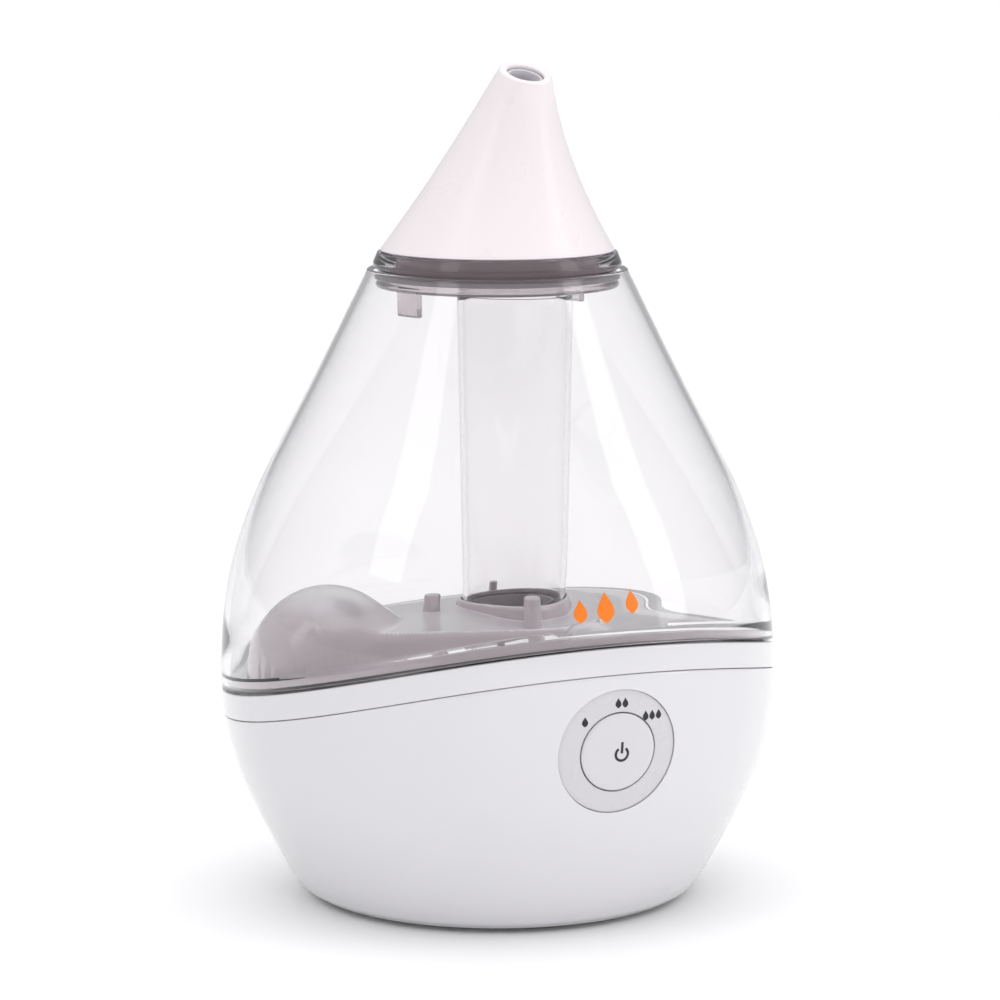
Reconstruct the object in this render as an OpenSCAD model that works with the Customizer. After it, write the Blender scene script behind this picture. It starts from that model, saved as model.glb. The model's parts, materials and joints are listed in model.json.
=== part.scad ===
// Cool mist humidifier: a drop-shaped clear tank on a white base, with a leaning mist cone on top.
// Millimetres, +Z up, front towards -Y, origin on the resting surface under the middle of the body.

/* [Body] */
// Thickness of the clear tank wall
tank_wall = 2.2; // [1.6:0.1:3]
// Thickness of the white base wall
base_wall = 2.6; // [2:0.1:4]
// Height of the tank's mouth
mouth_z = 215.3; // [205:0.1:225]
// Radius of the tank's mouth inside
mouth_r = 41.9; // [38:0.1:44]

/* [Seam between tank and base] */
// Direction in which the seam rises most, from the front towards the right
seam_turn = 17.3; // [0:0.1:45]
// Radius of the large cylinder that shapes the seam
seam_r = 442; // [300:1:800]
// Height of the lowest line of the seam
seam_low_z = 75.4; // [60:0.1:90]
// Distance of that line from the middle of the body
seam_shift = 51.8; // [0:0.1:80]
// Sideways slope of the seam
seam_tilt = 2.65; // [0:0.05:6]
// Gap between the tank and the base
seam_gap = 0.6; // [0.3:0.1:1]
// Height of the trim band under the seam
band_h = 9.3; // [5:0.1:15]

/* [Tank floor] */
// Height of the raised middle of the tank floor
plateau_z = 96; // [90:0.5:100]
// Centre of the mist tube
tube_x = 6; // [0:0.5:12]
// Centre of the mist tube, front to back
tube_y = 2.4; // [-5:0.1:5]
// Radius of the mist tube at its foot
tube_foot_r = 17.7; // [14:0.1:20]
// Radius of the mist tube at its top
tube_top_r = 19.8; // [15:0.1:22]
// Height of the top of the mist tube
tube_top_z = 206; // [190:1:210]
// Radius of the dome at the left of the tank floor
dome_r = 26.4; // [20:0.1:28]
// Radius of the small bump at the right of the tank floor
bump_r = 12; // [8:0.5:16]

/* [Lid ring] */
// Top of the lid ring
lid_top_z = 221; // [218:0.1:225]
// Underside of the lid ring's flange
lid_flange_z = 215.9; // [214:0.1:218]
// Underside of the lid ring's wall
lid_low_z = 209; // [200:0.5:210]
// Largest radius of the lid ring
lid_r = 42.3; // [40:0.1:44]
// Inside radius of the lid ring
lid_bore_r = 37.4; // [34:0.1:39]

/* [Mist cone] */
// Underside of the mist cone
cone_z = 221.5; // [219:0.1:225]
// Radius of the mist cone at its foot
cone_r = 40; // [36:0.1:42]
// Height of the middle of the mist outlet
tip_z = 282.2; // [270:0.1:290]
// Radius of the tip around the mist outlet
tip_r = 8.8; // [7:0.1:12]
// How far the tip leans out from the middle
tip_lean = 18.6; // [0:0.1:24]
// Direction of the lean, from the front towards the right
lean_turn = 31; // [0:1:60]
// Slope of the outlet rim
tip_tilt = 23; // [0:1:40]
// Thickness of the cone wall
cone_wall = 2; // [1.5:0.1:3]

/* [Control] */
// Direction of the control, from the front towards the right
panel_turn = 25; // [0:0.5:45]
// Height of the middle of the control
panel_z = 65.5; // [55:0.5:75]
// Downward slope of the control's axis
panel_tilt = 6; // [0:0.5:12]
// Radius of the round control plate
panel_r = 21; // [15:0.1:25]
// Radius of the power button
button_r = 13.1; // [8:0.1:16]

/* [Base] */
// Height of the rubber feet
foot_h = 1.5; // [1:0.1:4]
// Thickness of the bottom plate
plate_h = 3; // [2:0.1:4]
// Radius of the bottom plate
plate_r = 62.6; // [55:0.1:66]
// Radius of the mist chamber inside
chamber_r = 22; // [18:0.5:26]
// Floor of the mist chamber
chamber_z = 46; // [40:1:60]
// Side of the square fan frame
fan_w = 40; // [30:1:40]
// Height of the fan frame
fan_h = 10; // [8:1:12]

/* [Hidden] */
$fn = 96;

eps = 0.01;
far = 400;
plate_z = foot_h;
plate_top = plate_z + plate_h;

// Outside of the body from the bottom edge to the mouth: radius and height
body_outline = [[64, 1.5], [67.2, 3.2], [70, 6.2], [72.8, 10.5], [75.8, 16], [79.4, 23], [83, 30], [86.5, 37],
    [89.3, 44], [91.4, 51], [93, 58], [94.3, 65], [94.9, 72], [95, 79], [94.9, 86], [94.4, 93], [93.8, 100],
    [92.8, 107], [91.4, 114], [89.5, 121], [87.1, 128], [84.4, 135], [81.5, 142], [78, 149], [74.2, 156],
    [70.6, 163], [67, 170], [63.4, 177], [59.8, 184], [56.2, 191], [52.8, 198], [49.5, 205], [44.2, mouth_z]];
low_wall_z = 66;

dome_at = [-57, -26];
dome_z = 84;
bump_at = [31, -27];
bump_z = 86;
valve_at = [-14, 54];
valve_hole_r = 7;
float_at = [44, 26];
float_r = 11;
float_low_z = 54.5;
tray_low_z = 54;
fan_at = [-40, 0];
board_at = [25, 0];
board_size = [50, 56];
board_hole = [21, 24];
gland_z = 24;
gland_bore_r = 3.6;
gland_y = 79.9;
gland_tilt = 27;
gland_r = 6.5;
post_spots = [[-22, -11], [12, -26.5]];
foot_spots = [45, 135, 225, 315];
screw_spots = [0, 75, 150, 210, 285];
foot_ring_r = 54;
screw_ring_r = 56;
chamber_low_z = chamber_z - 2;
duct_top = 69.4;

// The space above the seam, moved up or down: the inside of one very large cylinder
module above_seam(offset_z) {
    translate([0, 0, offset_z])
        rotate([0, 0, seam_turn - 90])
            translate([-seam_shift, 0, seam_low_z + seam_r / cos(seam_tilt)])
                rotate([seam_tilt + 90, 0, 0])
                    cylinder(r = seam_r, h = far, center = true);
}

// A solid or hollow body of revolution that follows the outside, between two depths below the surface
module outline_band(depth_out, depth_in, z_from, z_to) {
    inside = [for (p = body_outline) if (p[1] >= z_from && p[1] <= z_to) p];
    rotate_extrude()
        polygon(concat(
            [for (p = inside) [p[0] - depth_out, p[1]]],
            [for (i = [len(inside) - 1:-1:0]) [inside[i][0] - depth_in, inside[i][1]]]));
}

// Everything inside the outline, less a depth
module outline_core(depth, z_from, z_to) {
    inside = [for (p = body_outline) if (p[1] >= z_from && p[1] <= z_to) p];
    rotate_extrude()
        polygon(concat(
            [[0, inside[0][1]]],
            [for (p = inside) [p[0] - depth, p[1]]],
            [[0, inside[len(inside) - 1][1]]]));
}

module ring(outer, inner, height) {
    difference() {
        cylinder(r = outer, h = height);
        translate([0, 0, -1])
            cylinder(r = inner, h = height + 2);
    }
}

// A straight channel block between two spots
module channel(from, to, width, z_low, z_high) {
    step = to - from;
    translate([from[0], from[1], z_low])
        rotate([0, 0, atan2(step[1], step[0])])
            translate([0, -width / 2, 0])
                cube([norm(step), width, z_high - z_low]);
}

// Places a child with its own +Z pointing out of the control
module at_panel(distance) {
    translate([0, 0, panel_z + 94 * tan(panel_tilt)])
        rotate([0, 0, panel_turn])
            rotate([90 + panel_tilt, 0, 0])
                translate([0, 0, distance])
                    children();
}

// Places a child with its own +Z pointing out of the back of the base, square to its wall
module at_gland(distance) {
    translate([0, gland_y, gland_z])
        rotate([-90 - gland_tilt, 0, 0])
            translate([0, 0, distance])
                children();
}

// ---- mist cone ----

cone_rings = 14;
cone_sides = 48;
tip_wall = 3;
function cone_t(i) = i / cone_rings;
function cone_reach(t) = tip_lean * (0.5 * t + 0.5 * t * t);
function cone_radius(t) = cone_r + (tip_r - cone_r) * (1.29 * t - 0.29 * t * t);
function cone_height(t) = cone_z + (tip_z - cone_z) * t;
function cone_point(t, side, inset) =
    let (a = 360 * side / cone_sides,
        r = cone_radius(t) - inset,
        tilt = tip_tilt * t * t * t,
        along = r * cos(a),
        across = r * sin(a),
        out = cone_reach(t) + along * cos(tilt),
        up = cone_height(t) - along * sin(tilt))
    [out * sin(lean_turn) + across * cos(lean_turn), -out * cos(lean_turn) + across * sin(lean_turn), up];

module cone_wall_body() {
    points = concat(
        [for (i = [0:cone_rings]) for (s = [0:cone_sides - 1]) cone_point(cone_t(i), s, 0)],
        [for (i = [0:cone_rings]) for (s = [0:cone_sides - 1])
            cone_point(cone_t(i), s, i == cone_rings ? tip_wall : cone_wall)]);
    inner = (cone_rings + 1) * cone_sides;
    top = cone_rings * cone_sides;
    faces = concat(
        [for (i = [0:cone_rings - 1]) for (s = [0:cone_sides - 1])
            let (n = (s + 1) % cone_sides, a = i * cone_sides)
                [a + s, a + cone_sides + s, a + cone_sides + n]],
        [for (i = [0:cone_rings - 1]) for (s = [0:cone_sides - 1])
            let (n = (s + 1) % cone_sides, a = i * cone_sides)
                [a + s, a + cone_sides + n, a + n]],
        [for (i = [0:cone_rings - 1]) for (s = [0:cone_sides - 1])
            let (n = (s + 1) % cone_sides, a = inner + i * cone_sides)
                [a + s, a + cone_sides + n, a + cone_sides + s]],
        [for (i = [0:cone_rings - 1]) for (s = [0:cone_sides - 1])
            let (n = (s + 1) % cone_sides, a = inner + i * cone_sides)
                [a + s, a + n, a + cone_sides + n]],
        [for (s = [0:cone_sides - 1]) let (n = (s + 1) % cone_sides) [s, n, inner + n]],
        [for (s = [0:cone_sides - 1]) let (n = (s + 1) % cone_sides) [s, inner + n, inner + s]],
        [for (s = [0:cone_sides - 1]) let (n = (s + 1) % cone_sides) [top + s, inner + top + n, top + n]],
        [for (s = [0:cone_sides - 1]) let (n = (s + 1) % cone_sides) [top + s, inner + top + s, inner + top + n]]);
    polyhedron(points = points, faces = faces, convexity = 6);
}

// White leaning cone with a skirt that turns inside the lid ring
module nozzle() {
    skirt_r = 36.9;
    color([0.95, 0.93, 0.94])
    union() {
        cone_wall_body();
        translate([0, 0, cone_z - 9])
            ring(skirt_r, skirt_r - 1.8, 9 + 0.5);
        translate([0, 0, cone_z + eps])
            ring(cone_r - 0.8, skirt_r - 1.8, 0.9);
    }
}

// Grey sleeve inside the mist outlet
module nozzle_liner() {
    liner_h = 6;
    liner_depth = 1.5;
    color([0.62, 0.62, 0.66])
    rotate([0, 0, lean_turn])
        translate([0, -tip_lean, tip_z])
            rotate([tip_tilt, 0, 0])
                translate([0, 0, -liner_h - liner_depth])
                    ring(tip_r - 2.4, 5.4, liner_h);
}

// ---- lid ring ----

// Smoky clear ring that closes the tank's mouth, with two hanging tabs
module lid_ring() {
    tab_w = 9.5;
    tab_h = 8;
    tab_turns = [-48, 138];
    color([0.62, 0.6, 0.7, 0.5])
    difference() {
        union() {
            rotate_extrude()
                polygon([[lid_bore_r, lid_low_z], [mouth_r - 1.2, lid_low_z], [mouth_r - 0.6, lid_low_z + 0.8],
                    [mouth_r - 0.6, lid_low_z + 1.6], [mouth_r - 1.3, lid_low_z + 2.4],
                    [mouth_r - 1.3, lid_flange_z], [lid_r, lid_flange_z], [lid_r, lid_flange_z + 1.6],
                    [lid_r - 1.5, lid_top_z], [lid_bore_r, lid_top_z]]);
            for (turn = tab_turns)
                rotate([0, 0, turn])
                    intersection() {
                        translate([0, 0, lid_low_z - tab_h])
                            ring(mouth_r - 1.6, lid_bore_r + 0.4, tab_h + 1);
                        translate([-tab_w / 2, -lid_r, lid_low_z - tab_h - 1])
                            cube([tab_w, lid_r, tab_h + 2]);
                    }
        }
        translate([0, 0, lid_flange_z - 4])
            ring(mouth_r + 1, mouth_r - 2.1, 1.6);
    }
}

// Thin silicone ring in the lid ring's groove
module lid_seal() {
    color([0.85, 0.85, 0.88, 0.8])
    translate([0, 0, lid_flange_z - 4 + 0.1])
        ring(mouth_r - 0.4, mouth_r - 2.1 + 0.05, 1.4);
}

// ---- tank ----

// Clear drop-shaped tank wall, open at the mouth and at the seam
module tank_shell() {
    weld_h = 17;
    color([0.9, 0.92, 0.95, 0.3])
    union() {
        intersection() {
            outline_band(0, tank_wall, low_wall_z - 2, mouth_z);
            above_seam(seam_gap / 2);
        }
        intersection() {
            outline_band(tank_wall - eps, tank_wall + 0.9, low_wall_z - 2, 128);
            difference() {
                above_seam(4.2);
                above_seam(weld_h);
            }
        }
    }
}

// Plan of the raised block: corner spots, joined by a smooth closed curve
block_spots = [[-60, -47], [-36, -44], [-9, -35], [13, -31], [25, -25], [35, -10], [34, 14], [20, 27], [-3, 26],
    [-17, 17], [-36, 8], [-60, 0]];
block_middle = [-14, -10];
curve_steps = 5;
function spot(i) = block_spots[(i + len(block_spots)) % len(block_spots)];
function curve(i, t) = 0.5 * (2 * spot(i) + (spot(i + 1) - spot(i - 1)) * t
    + (2 * spot(i - 1) - 5 * spot(i) + 4 * spot(i + 1) - spot(i + 2)) * t * t
    + (3 * spot(i) - spot(i - 1) - 3 * spot(i + 1) + spot(i + 2)) * t * t * t);
block_plan = [for (i = [0:len(block_spots) - 1]) for (k = [0:curve_steps - 1]) curve(i, k / curve_steps)];

module floor_block(grow, drop) {
    top = plateau_z - drop;
    share = 1 + grow / 30;
    translate([0, 0, 60])
        linear_extrude(height = top - 60)
            polygon([for (p = block_plan) block_middle + (p - block_middle) * share]);
    translate([dome_at[0], dome_at[1], 0])
        round_top(dome_r + grow, 58, dome_z);
    translate([bump_at[0], bump_at[1], 0])
        round_top(bump_r + grow, 57, bump_z);
}

// Upright round block with a rounded shoulder and a small flat on top
module round_top(r, low, shoulder) {
    step = 7.5;
    rotate_extrude()
        polygon(concat([[0, low], [r, low]],
            [for (a = [0:step:90 - step]) [r * cos(a), shoulder + r * sin(a)]],
            [[0, shoulder + r * sin(90 - step)]]));
}

// White floor of the tank: a plate along the seam with a raised block, a dome, posts and the tube's socket
module tank_floor() {
    skin = 2;
    post_r = 2.9;
    post_h = 8;
    back_post_at = [-2, 23.2];
    back_post_r = 1.7;
    stub_low_z = 68;
    rim_gap = 0.05;
    valve_z = 77.4;
    color([0.9, 0.88, 0.9])
    difference() {
        union() {
            difference() {
                intersection() {
                    outline_core(tank_wall + rim_gap, 64, 128);
                    above_seam(1.9);
                    union() {
                        difference() {
                            translate([-100, -100, 60])
                                cube([200, 200, 60]);
                            above_seam(4.1);
                        }
                        floor_block(0, 0);
                    }
                }
                difference() {
                    floor_block(-skin, skin);
                    translate([valve_at[0], valve_at[1], 60])
                        cylinder(r = valve_hole_r + 4, h = 40);
                }
            }
            translate([tube_x, tube_y, stub_low_z])
                cylinder(r = 17.4, h = plateau_z - stub_low_z - 0.5);
            for (spot = post_spots)
                translate([spot[0], spot[1], plateau_z - 1])
                    cylinder(r = post_r, h = post_h + 1);
            translate([back_post_at[0], back_post_at[1], plateau_z - 1])
                cylinder(r = back_post_r, h = post_h);
            translate([tube_x, tube_y, plateau_z - 1])
                ring(tube_foot_r + 2, tube_foot_r + 0.15, 3.6);
            translate([valve_at[0], valve_at[1], valve_z])
                ring(valve_hole_r + 2.5, valve_hole_r - 1, 3.4);
        }
        translate([tube_x, tube_y, 50])
            cylinder(r = 15.3, h = 60);
        translate([valve_at[0], valve_at[1], 60])
            cylinder(r = valve_hole_r, h = 30);
    }
    // Spider that guides the valve's stem
    color([0.9, 0.88, 0.9])
    translate([valve_at[0], valve_at[1], valve_z + 0.4])
        difference() {
            union() {
                translate([0, 0, -0.2])
                    cylinder(r = 3.2, h = 2.9);
                for (turn = [0, 120, 240])
                    rotate([0, 0, turn])
                        translate([0, -0.8, 0])
                            cube([valve_hole_r + 0.5, 1.6, 2.4]);
            }
            translate([0, 0, -1])
                cylinder(r = 1.85, h = 5);
        }
}

// Clear tapered tube that carries the mist up through the tank
module mist_tube() {
    wall = 1.6;
    foot_z = plateau_z + 1;
    height = tube_top_z - foot_z;
    color([0.9, 0.92, 0.95, 0.3])
    translate([tube_x, tube_y, foot_z])
        difference() {
            cylinder(r1 = tube_foot_r, r2 = tube_top_r, h = height);
            translate([0, 0, -eps])
                cylinder(r1 = tube_foot_r - wall, r2 = tube_top_r - wall, h = height + 2 * eps);
        }
}

// Silicone ring under the foot of the mist tube
module tube_gasket() {
    color([0.7, 0.7, 0.74])
    translate([tube_x, tube_y, plateau_z])
        ring(tube_foot_r - 0.1, 15.5, 1);
}

// ---- tank valve ----

valve_low_z = 68.8;
valve_head_z = 86.2;

// Stem and head of the valve that lets water into the base
module valve_plunger() {
    color([0.92, 0.92, 0.94])
    translate([valve_at[0], valve_at[1], 0]) {
        translate([0, 0, valve_low_z])
            cylinder(r = 1.8, h = valve_head_z - valve_low_z + 1);
        translate([0, 0, valve_head_z])
            cylinder(r = 6, h = 1.6);
        translate([0, 0, valve_low_z])
            cylinder(r = 3.4, h = 2);
    }
}

// Rubber washer under the valve's head
module valve_washer() {
    color([0.2, 0.2, 0.22])
    translate([valve_at[0], valve_at[1], valve_head_z - 1.4])
        ring(8.3, 1.85, 1.4);
}

// Coil that pulls the valve shut
module valve_spring() {
    turns = 4;
    coil_r = 2.75;
    wire_r = 0.35;
    low = valve_low_z + 2.4;
    height = 5.9;
    steps = 20;
    sides = 8;
    total = turns * steps;
    function coil_point(i, s) =
        let (a = 360 * i / steps, b = 360 * s / sides, r = coil_r + wire_r * cos(b))
        [r * cos(a), r * sin(a), height * i / total + wire_r * sin(b)];
    points = [for (i = [0:total]) for (s = [0:sides - 1]) coil_point(i, s)];
    faces = concat(
        [for (i = [0:total - 1]) for (s = [0:sides - 1])
            [i * sides + s, i * sides + (s + 1) % sides, (i + 1) * sides + (s + 1) % sides]],
        [for (i = [0:total - 1]) for (s = [0:sides - 1])
            [i * sides + s, (i + 1) * sides + (s + 1) % sides, (i + 1) * sides + s]],
        [[for (s = [sides - 1:-1:0]) s]],
        [[for (s = [0:sides - 1]) total * sides + s]]);
    color([0.7, 0.7, 0.72])
    translate([valve_at[0], valve_at[1], low])
        polyhedron(points = points, faces = faces, convexity = 8);
}

// ---- base, upper part ----

module tray_hollows(grow, deep) {
    low = tray_low_z;
    high = 110;
    translate([tube_x, tube_y, chamber_z - deep])
        cylinder(r = chamber_r + grow, h = high - chamber_z + deep);
    translate([valve_at[0], valve_at[1], low - deep])
        cylinder(r = 15 + grow, h = high - low + deep);
    translate([float_at[0], float_at[1], low - deep])
        cylinder(r = float_r + 2.5 + grow, h = high - low + deep);
    channel([tube_x, tube_y], valve_at, 12 + 2 * grow, low - deep, high);
    channel([tube_x, tube_y], float_at, 12 + 2 * grow, low - deep, high);
}

// White upper part of the base: the trim band, the water tray and the mist chamber
module base_tray() {
    skin = 2;
    drain_r = 8.4;
    lip_w = 2.1;
    lip_low_z = low_wall_z - 16;
    pin_r = 2.2;
    pin_top = valve_low_z - 0.4;
    post_r = 2.5;
    post_h = 20;
    port_w = 16;
    color([0.97, 0.97, 0.97])
    difference() {
        union() {
            difference() {
                union() {
                    // trim band
                    intersection() {
                        outline_band(0, base_wall, low_wall_z - 9, 107);
                        above_seam(-band_h + 0.15);
                    }
                    // lip that locates the base shell
                    intersection() {
                        outline_band(base_wall + 0.1, base_wall + lip_w, lip_low_z, 107);
                        above_seam(-band_h - 3);
                    }
                    intersection() {
                        outline_band(base_wall - eps, base_wall + lip_w, lip_low_z, 107);
                        above_seam(-band_h + 1.2);
                    }
                    // tray plate
                    intersection() {
                        outline_core(base_wall + lip_w - eps, lip_low_z, 107);
                        above_seam(-4);
                    }
                    intersection() {
                        tray_hollows(skin, skin);
                        translate([-100, -100, 30])
                            cube([200, 200, 50]);
                    }
                }
                above_seam(-seam_gap / 2);
                intersection() {
                    outline_core(base_wall + lip_w, lip_low_z, 107);
                    above_seam(-1.8);
                }
                tray_hollows(0, 0);
                // seat of the transducer
                translate([tube_x, tube_y, chamber_z - skin - 1])
                    cylinder(r = drain_r, h = skin + 2);
                // air port from the fan duct
                translate([tube_x - chamber_r - 4, tube_y - port_w / 2, duct_top - 8])
                    cube([8, port_w, 6.4]);
            }
            // bosses for the screws under the mist chamber
            chamber_posts(3, chamber_z - eps, 5);
            // pin that holds the valve open
            translate([valve_at[0], valve_at[1], tray_low_z - eps])
                cylinder(r = pin_r, h = pin_top - tray_low_z);
            // post that guides the float
            translate([float_at[0], float_at[1], tray_low_z - eps])
                cylinder(r = post_r, h = post_h);
        }
        chamber_posts(1.25, chamber_low_z - 1, 5.5);
    }
}

module rotate_about(x, y, turn) {
    translate([x, y, 0])
        rotate([0, 0, turn])
            children();
}

// Three upright cylinders around the middle of the mist chamber's floor
module chamber_posts(r, low, height) {
    for (turn = [30, 150, 270])
        rotate_about(tube_x, tube_y, turn)
            translate([14, 0, low])
                cylinder(r = r, h = height);
}

// ---- base, lower part ----

// Upright cylinders around the bottom screws
module screw_posts(r, low, high) {
    for (turn = screw_spots)
        rotate([0, 0, turn])
            translate([screw_ring_r, 0, low])
                cylinder(r = r, h = high - low);
}

// White lower part of the base
module base_shell() {
    boss_top = 14;
    boss_r = 4;
    rib_w = 2.4;
    panel_hole = panel_r + 0.3;
    board_post_at = [16.5, -14];
    board_post_r = 2.2;
    board_post_h = 7;
    color([0.97, 0.97, 0.97])
    difference() {
        union() {
            difference() {
                outline_band(0, base_wall, 1.5, 107);
                above_seam(-band_h - 0.15);
                at_panel(70)
                    cylinder(r = panel_hole, h = 60);
            }
            // seat behind the control plate, cut short under the lip of the tray
            difference() {
                intersection() {
                    outline_band(base_wall - 0.3, base_wall + 2, 30, 93);
                    at_panel(70)
                        ring(panel_r + 2, panel_r - 2.5, 60);
                }
                above_seam(-band_h - 3.4);
            }
            // bosses for the bottom screws
            intersection() {
                union() {
                    screw_posts(boss_r, plate_top, boss_top);
                    for (turn = screw_spots)
                        rotate([0, 0, turn])
                            translate([screw_ring_r, -rib_w / 2, plate_top])
                                cube([30, rib_w, boss_top - plate_top - 1]);
                }
                outline_core(base_wall - 0.5, 1.5, 30);
            }
            // bosses for the control board
            at_panel(82.5)
                for (side = [-1, 1])
                    translate([side * board_post_at[0], board_post_at[1], 0])
                        cylinder(r = board_post_r, h = board_post_h);
        }
        screw_posts(1.3, plate_top - 2, 12.5);
        at_panel(81)
            for (side = [-1, 1])
                translate([side * board_post_at[0], board_post_at[1], 0])
                    cylinder(r = 0.95, h = board_post_h);
        // hole for the cord gland
        at_gland(-12)
            cylinder(r = gland_r + 0.05, h = 24);
        translate([0, 0, plate_z - 1])
            cylinder(r = plate_r + 0.3, h = plate_h + 1);
    }
}

// Bottom plate with the air slots, stand-offs for the boards and sockets for the screws
module bottom_plate() {
    slot_w = 2.4;
    slots = 7;
    color([0.93, 0.93, 0.93])
    difference() {
        union() {
            translate([0, 0, plate_z])
                cylinder(r = plate_r, h = plate_h);
            for (x = [-1, 1] * board_hole[0]) for (y = [-1, 1] * board_hole[1])
                translate([board_at[0] + x, board_at[1] + y, plate_top - eps])
                    cylinder(r = 2.6, h = 5.5);
        }
        for (i = [0:slots - 1])
            translate([fan_at[0] - slot_w / 2 + (i - 3) * 4.6, fan_at[1] - 15 + abs(i - 3) * 2, plate_z - 1])
                cube([slot_w, 30 - abs(i - 3) * 4, plate_h + 2]);
        screw_posts(1.6, 0, 10);
        screw_posts(3.4, 0, plate_z + 1.4);
        for (turn = foot_spots)
            rotate([0, 0, turn])
                translate([foot_ring_r, 0, plate_z - 1])
                    cylinder(r = 2.1, h = 3);
        for (x = [-1, 1] * board_hole[0]) for (y = [-1, 1] * board_hole[1])
            translate([board_at[0] + x, board_at[1] + y, plate_top + 0.5])
                cylinder(r = 0.95, h = 6);
        for (x = [-16, 16]) for (y = [-16, 16])
            translate([fan_at[0] + x, fan_at[1] + y, plate_z - 1])
                cylinder(r = 1.25, h = plate_h + 2);
    }
}

module rubber_feet() {
    color([0.75, 0.75, 0.76])
    for (turn = foot_spots)
        rotate([0, 0, turn])
            translate([foot_ring_r, 0, 0]) {
                cylinder(r = 6, h = foot_h);
                cylinder(r = 2, h = foot_h + 1.8);
            }
}

// Pan head screw with a cross slot, head down
module screw(head_r, head_h, shank_r, length) {
    difference() {
        union() {
            cylinder(r = head_r, h = head_h);
            cylinder(r = shank_r, h = head_h + length);
        }
        for (turn = [0, 90])
            rotate([0, 0, turn])
                translate([-head_r * 0.6, -head_r * 0.12, -eps])
                    cube([head_r * 1.2, head_r * 0.24, head_h * 0.5]);
    }
}

module bottom_screws() {
    color([0.6, 0.6, 0.62])
    for (turn = screw_spots)
        rotate([0, 0, turn])
            translate([screw_ring_r, 0, plate_z + 0.1])
                screw(3, 1.3, 1.25, 9);
}

// Rubber bushing at the back, where the supply cord would enter
module cord_gland() {
    color([0.9, 0.9, 0.9])
    at_gland(-10.6)
        difference() {
            union() {
                cylinder(r = gland_r, h = 12);
                translate([0, 0, 11.2])
                    cylinder(r = 8.6, h = 2.3);
                translate([0, 0, 5.6])
                    cylinder(r = 7.4, h = 1.7);
            }
            translate([0, 0, -1])
                cylinder(r = gland_bore_r, h = 20);
        }
}

// ---- control ----

// Round plate around the power button, following the curve of the base
module escutcheon() {
    color([0.95, 0.95, 0.95])
    intersection() {
        outline_band(0.5, base_wall - 0.4, 30, 93);
        at_panel(70)
            ring(panel_r, button_r + 0.45, 60);
    }
}

// Power button, which moves straight in
module power_button() {
    color([0.98, 0.98, 0.98])
    union() {
        intersection() {
            outline_band(0.1, 3.8, 30, 93);
            at_panel(70)
                cylinder(r = button_r, h = 60);
        }
        intersection() {
            outline_band(base_wall + 0.35, 3.8, 30, 93);
            at_panel(70)
                cylinder(r = button_r + 2.2, h = 60);
        }
        at_panel(86.6)
            cylinder(r = 3, h = 6);
    }
}

// Small board behind the button
module control_board() {
    color([0.1, 0.4, 0.2])
    at_panel(80.8)
        difference() {
            translate([-20, -17.5, 0])
                cube([40, 30, 1.6]);
            for (side = [-1, 1])
                translate([side * 16.5, -14, -1])
                    cylinder(r = 1.25, h = 4);
        }
}

module tact_switch() {
    color([0.2, 0.2, 0.22])
    at_panel(82.4) {
        translate([-3, -3, 0])
            cube([6, 6, 1.9]);
        cylinder(r = 1.7, h = 2.6);
    }
}

module power_led() {
    color([0.3, 0.6, 0.95, 0.7])
    at_panel(82.4)
        translate([8, 5, 0]) {
            cylinder(r = 1.5, h = 2.4);
            translate([0, 0, 2.4])
                sphere(r = 1.5);
        }
}

module board_screws() {
    color([0.6, 0.6, 0.62])
    at_panel(79.6)
        for (side = [-1, 1])
            translate([side * 16.5, -14, 0])
                screw(2, 1.2, 0.9, 7);
}

// ---- mist maker ----

seal_h = 1.6;
disc_h = 1.2;
disc_z = chamber_low_z - seal_h - disc_h;

module transducer_disc() {
    color([0.8, 0.75, 0.55])
    translate([tube_x, tube_y, disc_z])
        cylinder(r = 10, h = disc_h);
}

module transducer_seal() {
    color([0.15, 0.15, 0.16])
    translate([tube_x, tube_y, disc_z + disc_h])
        ring(11, 8, seal_h);
}

// Aluminium plate that presses the disc against its seal
module transducer_holder() {
    color([0.7, 0.72, 0.74])
    translate([tube_x, tube_y, disc_z - 2.4])
        difference() {
            cylinder(r = 18, h = 2.4 + seal_h + disc_h);
            translate([0, 0, 2.4])
                cylinder(r = 11.2, h = 5);
            translate([0, 0, -1])
                cylinder(r = 7.5, h = 5);
            for (turn = [30, 150, 270])
                rotate([0, 0, turn])
                    translate([14, 0, -1])
                        cylinder(r = 1.4, h = 9);
        }
}

module transducer_screws() {
    color([0.6, 0.6, 0.62])
    for (turn = [30, 150, 270])
        rotate_about(tube_x, tube_y, turn)
            translate([14, 0, disc_z - 2.4 - 1.4])
                screw(2.4, 1.4, 1.2, 9);
}

// ---- float ----

module float_ring() {
    color([0.95, 0.95, 0.95])
    translate([float_at[0], float_at[1], float_low_z])
        difference() {
            cylinder(r = float_r, h = 8);
            translate([0, 0, -1])
                cylinder(r = 2.9, h = 10);
            translate([0, 0, -eps])
                ring(7, 5, 2.2);
        }
}

module float_magnet() {
    color([0.3, 0.3, 0.32])
    translate([float_at[0], float_at[1], float_low_z])
        ring(6.95, 5.05, 2);
}

module reed_switch() {
    color([0.85, 0.85, 0.8])
    translate([float_at[0] - 7, float_at[1], tray_low_z - 3.4])
        rotate([0, 90, 0])
            cylinder(r = 1.2, h = 14);
}

// ---- fan ----

fan_z = plate_top + 0.3;

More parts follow.
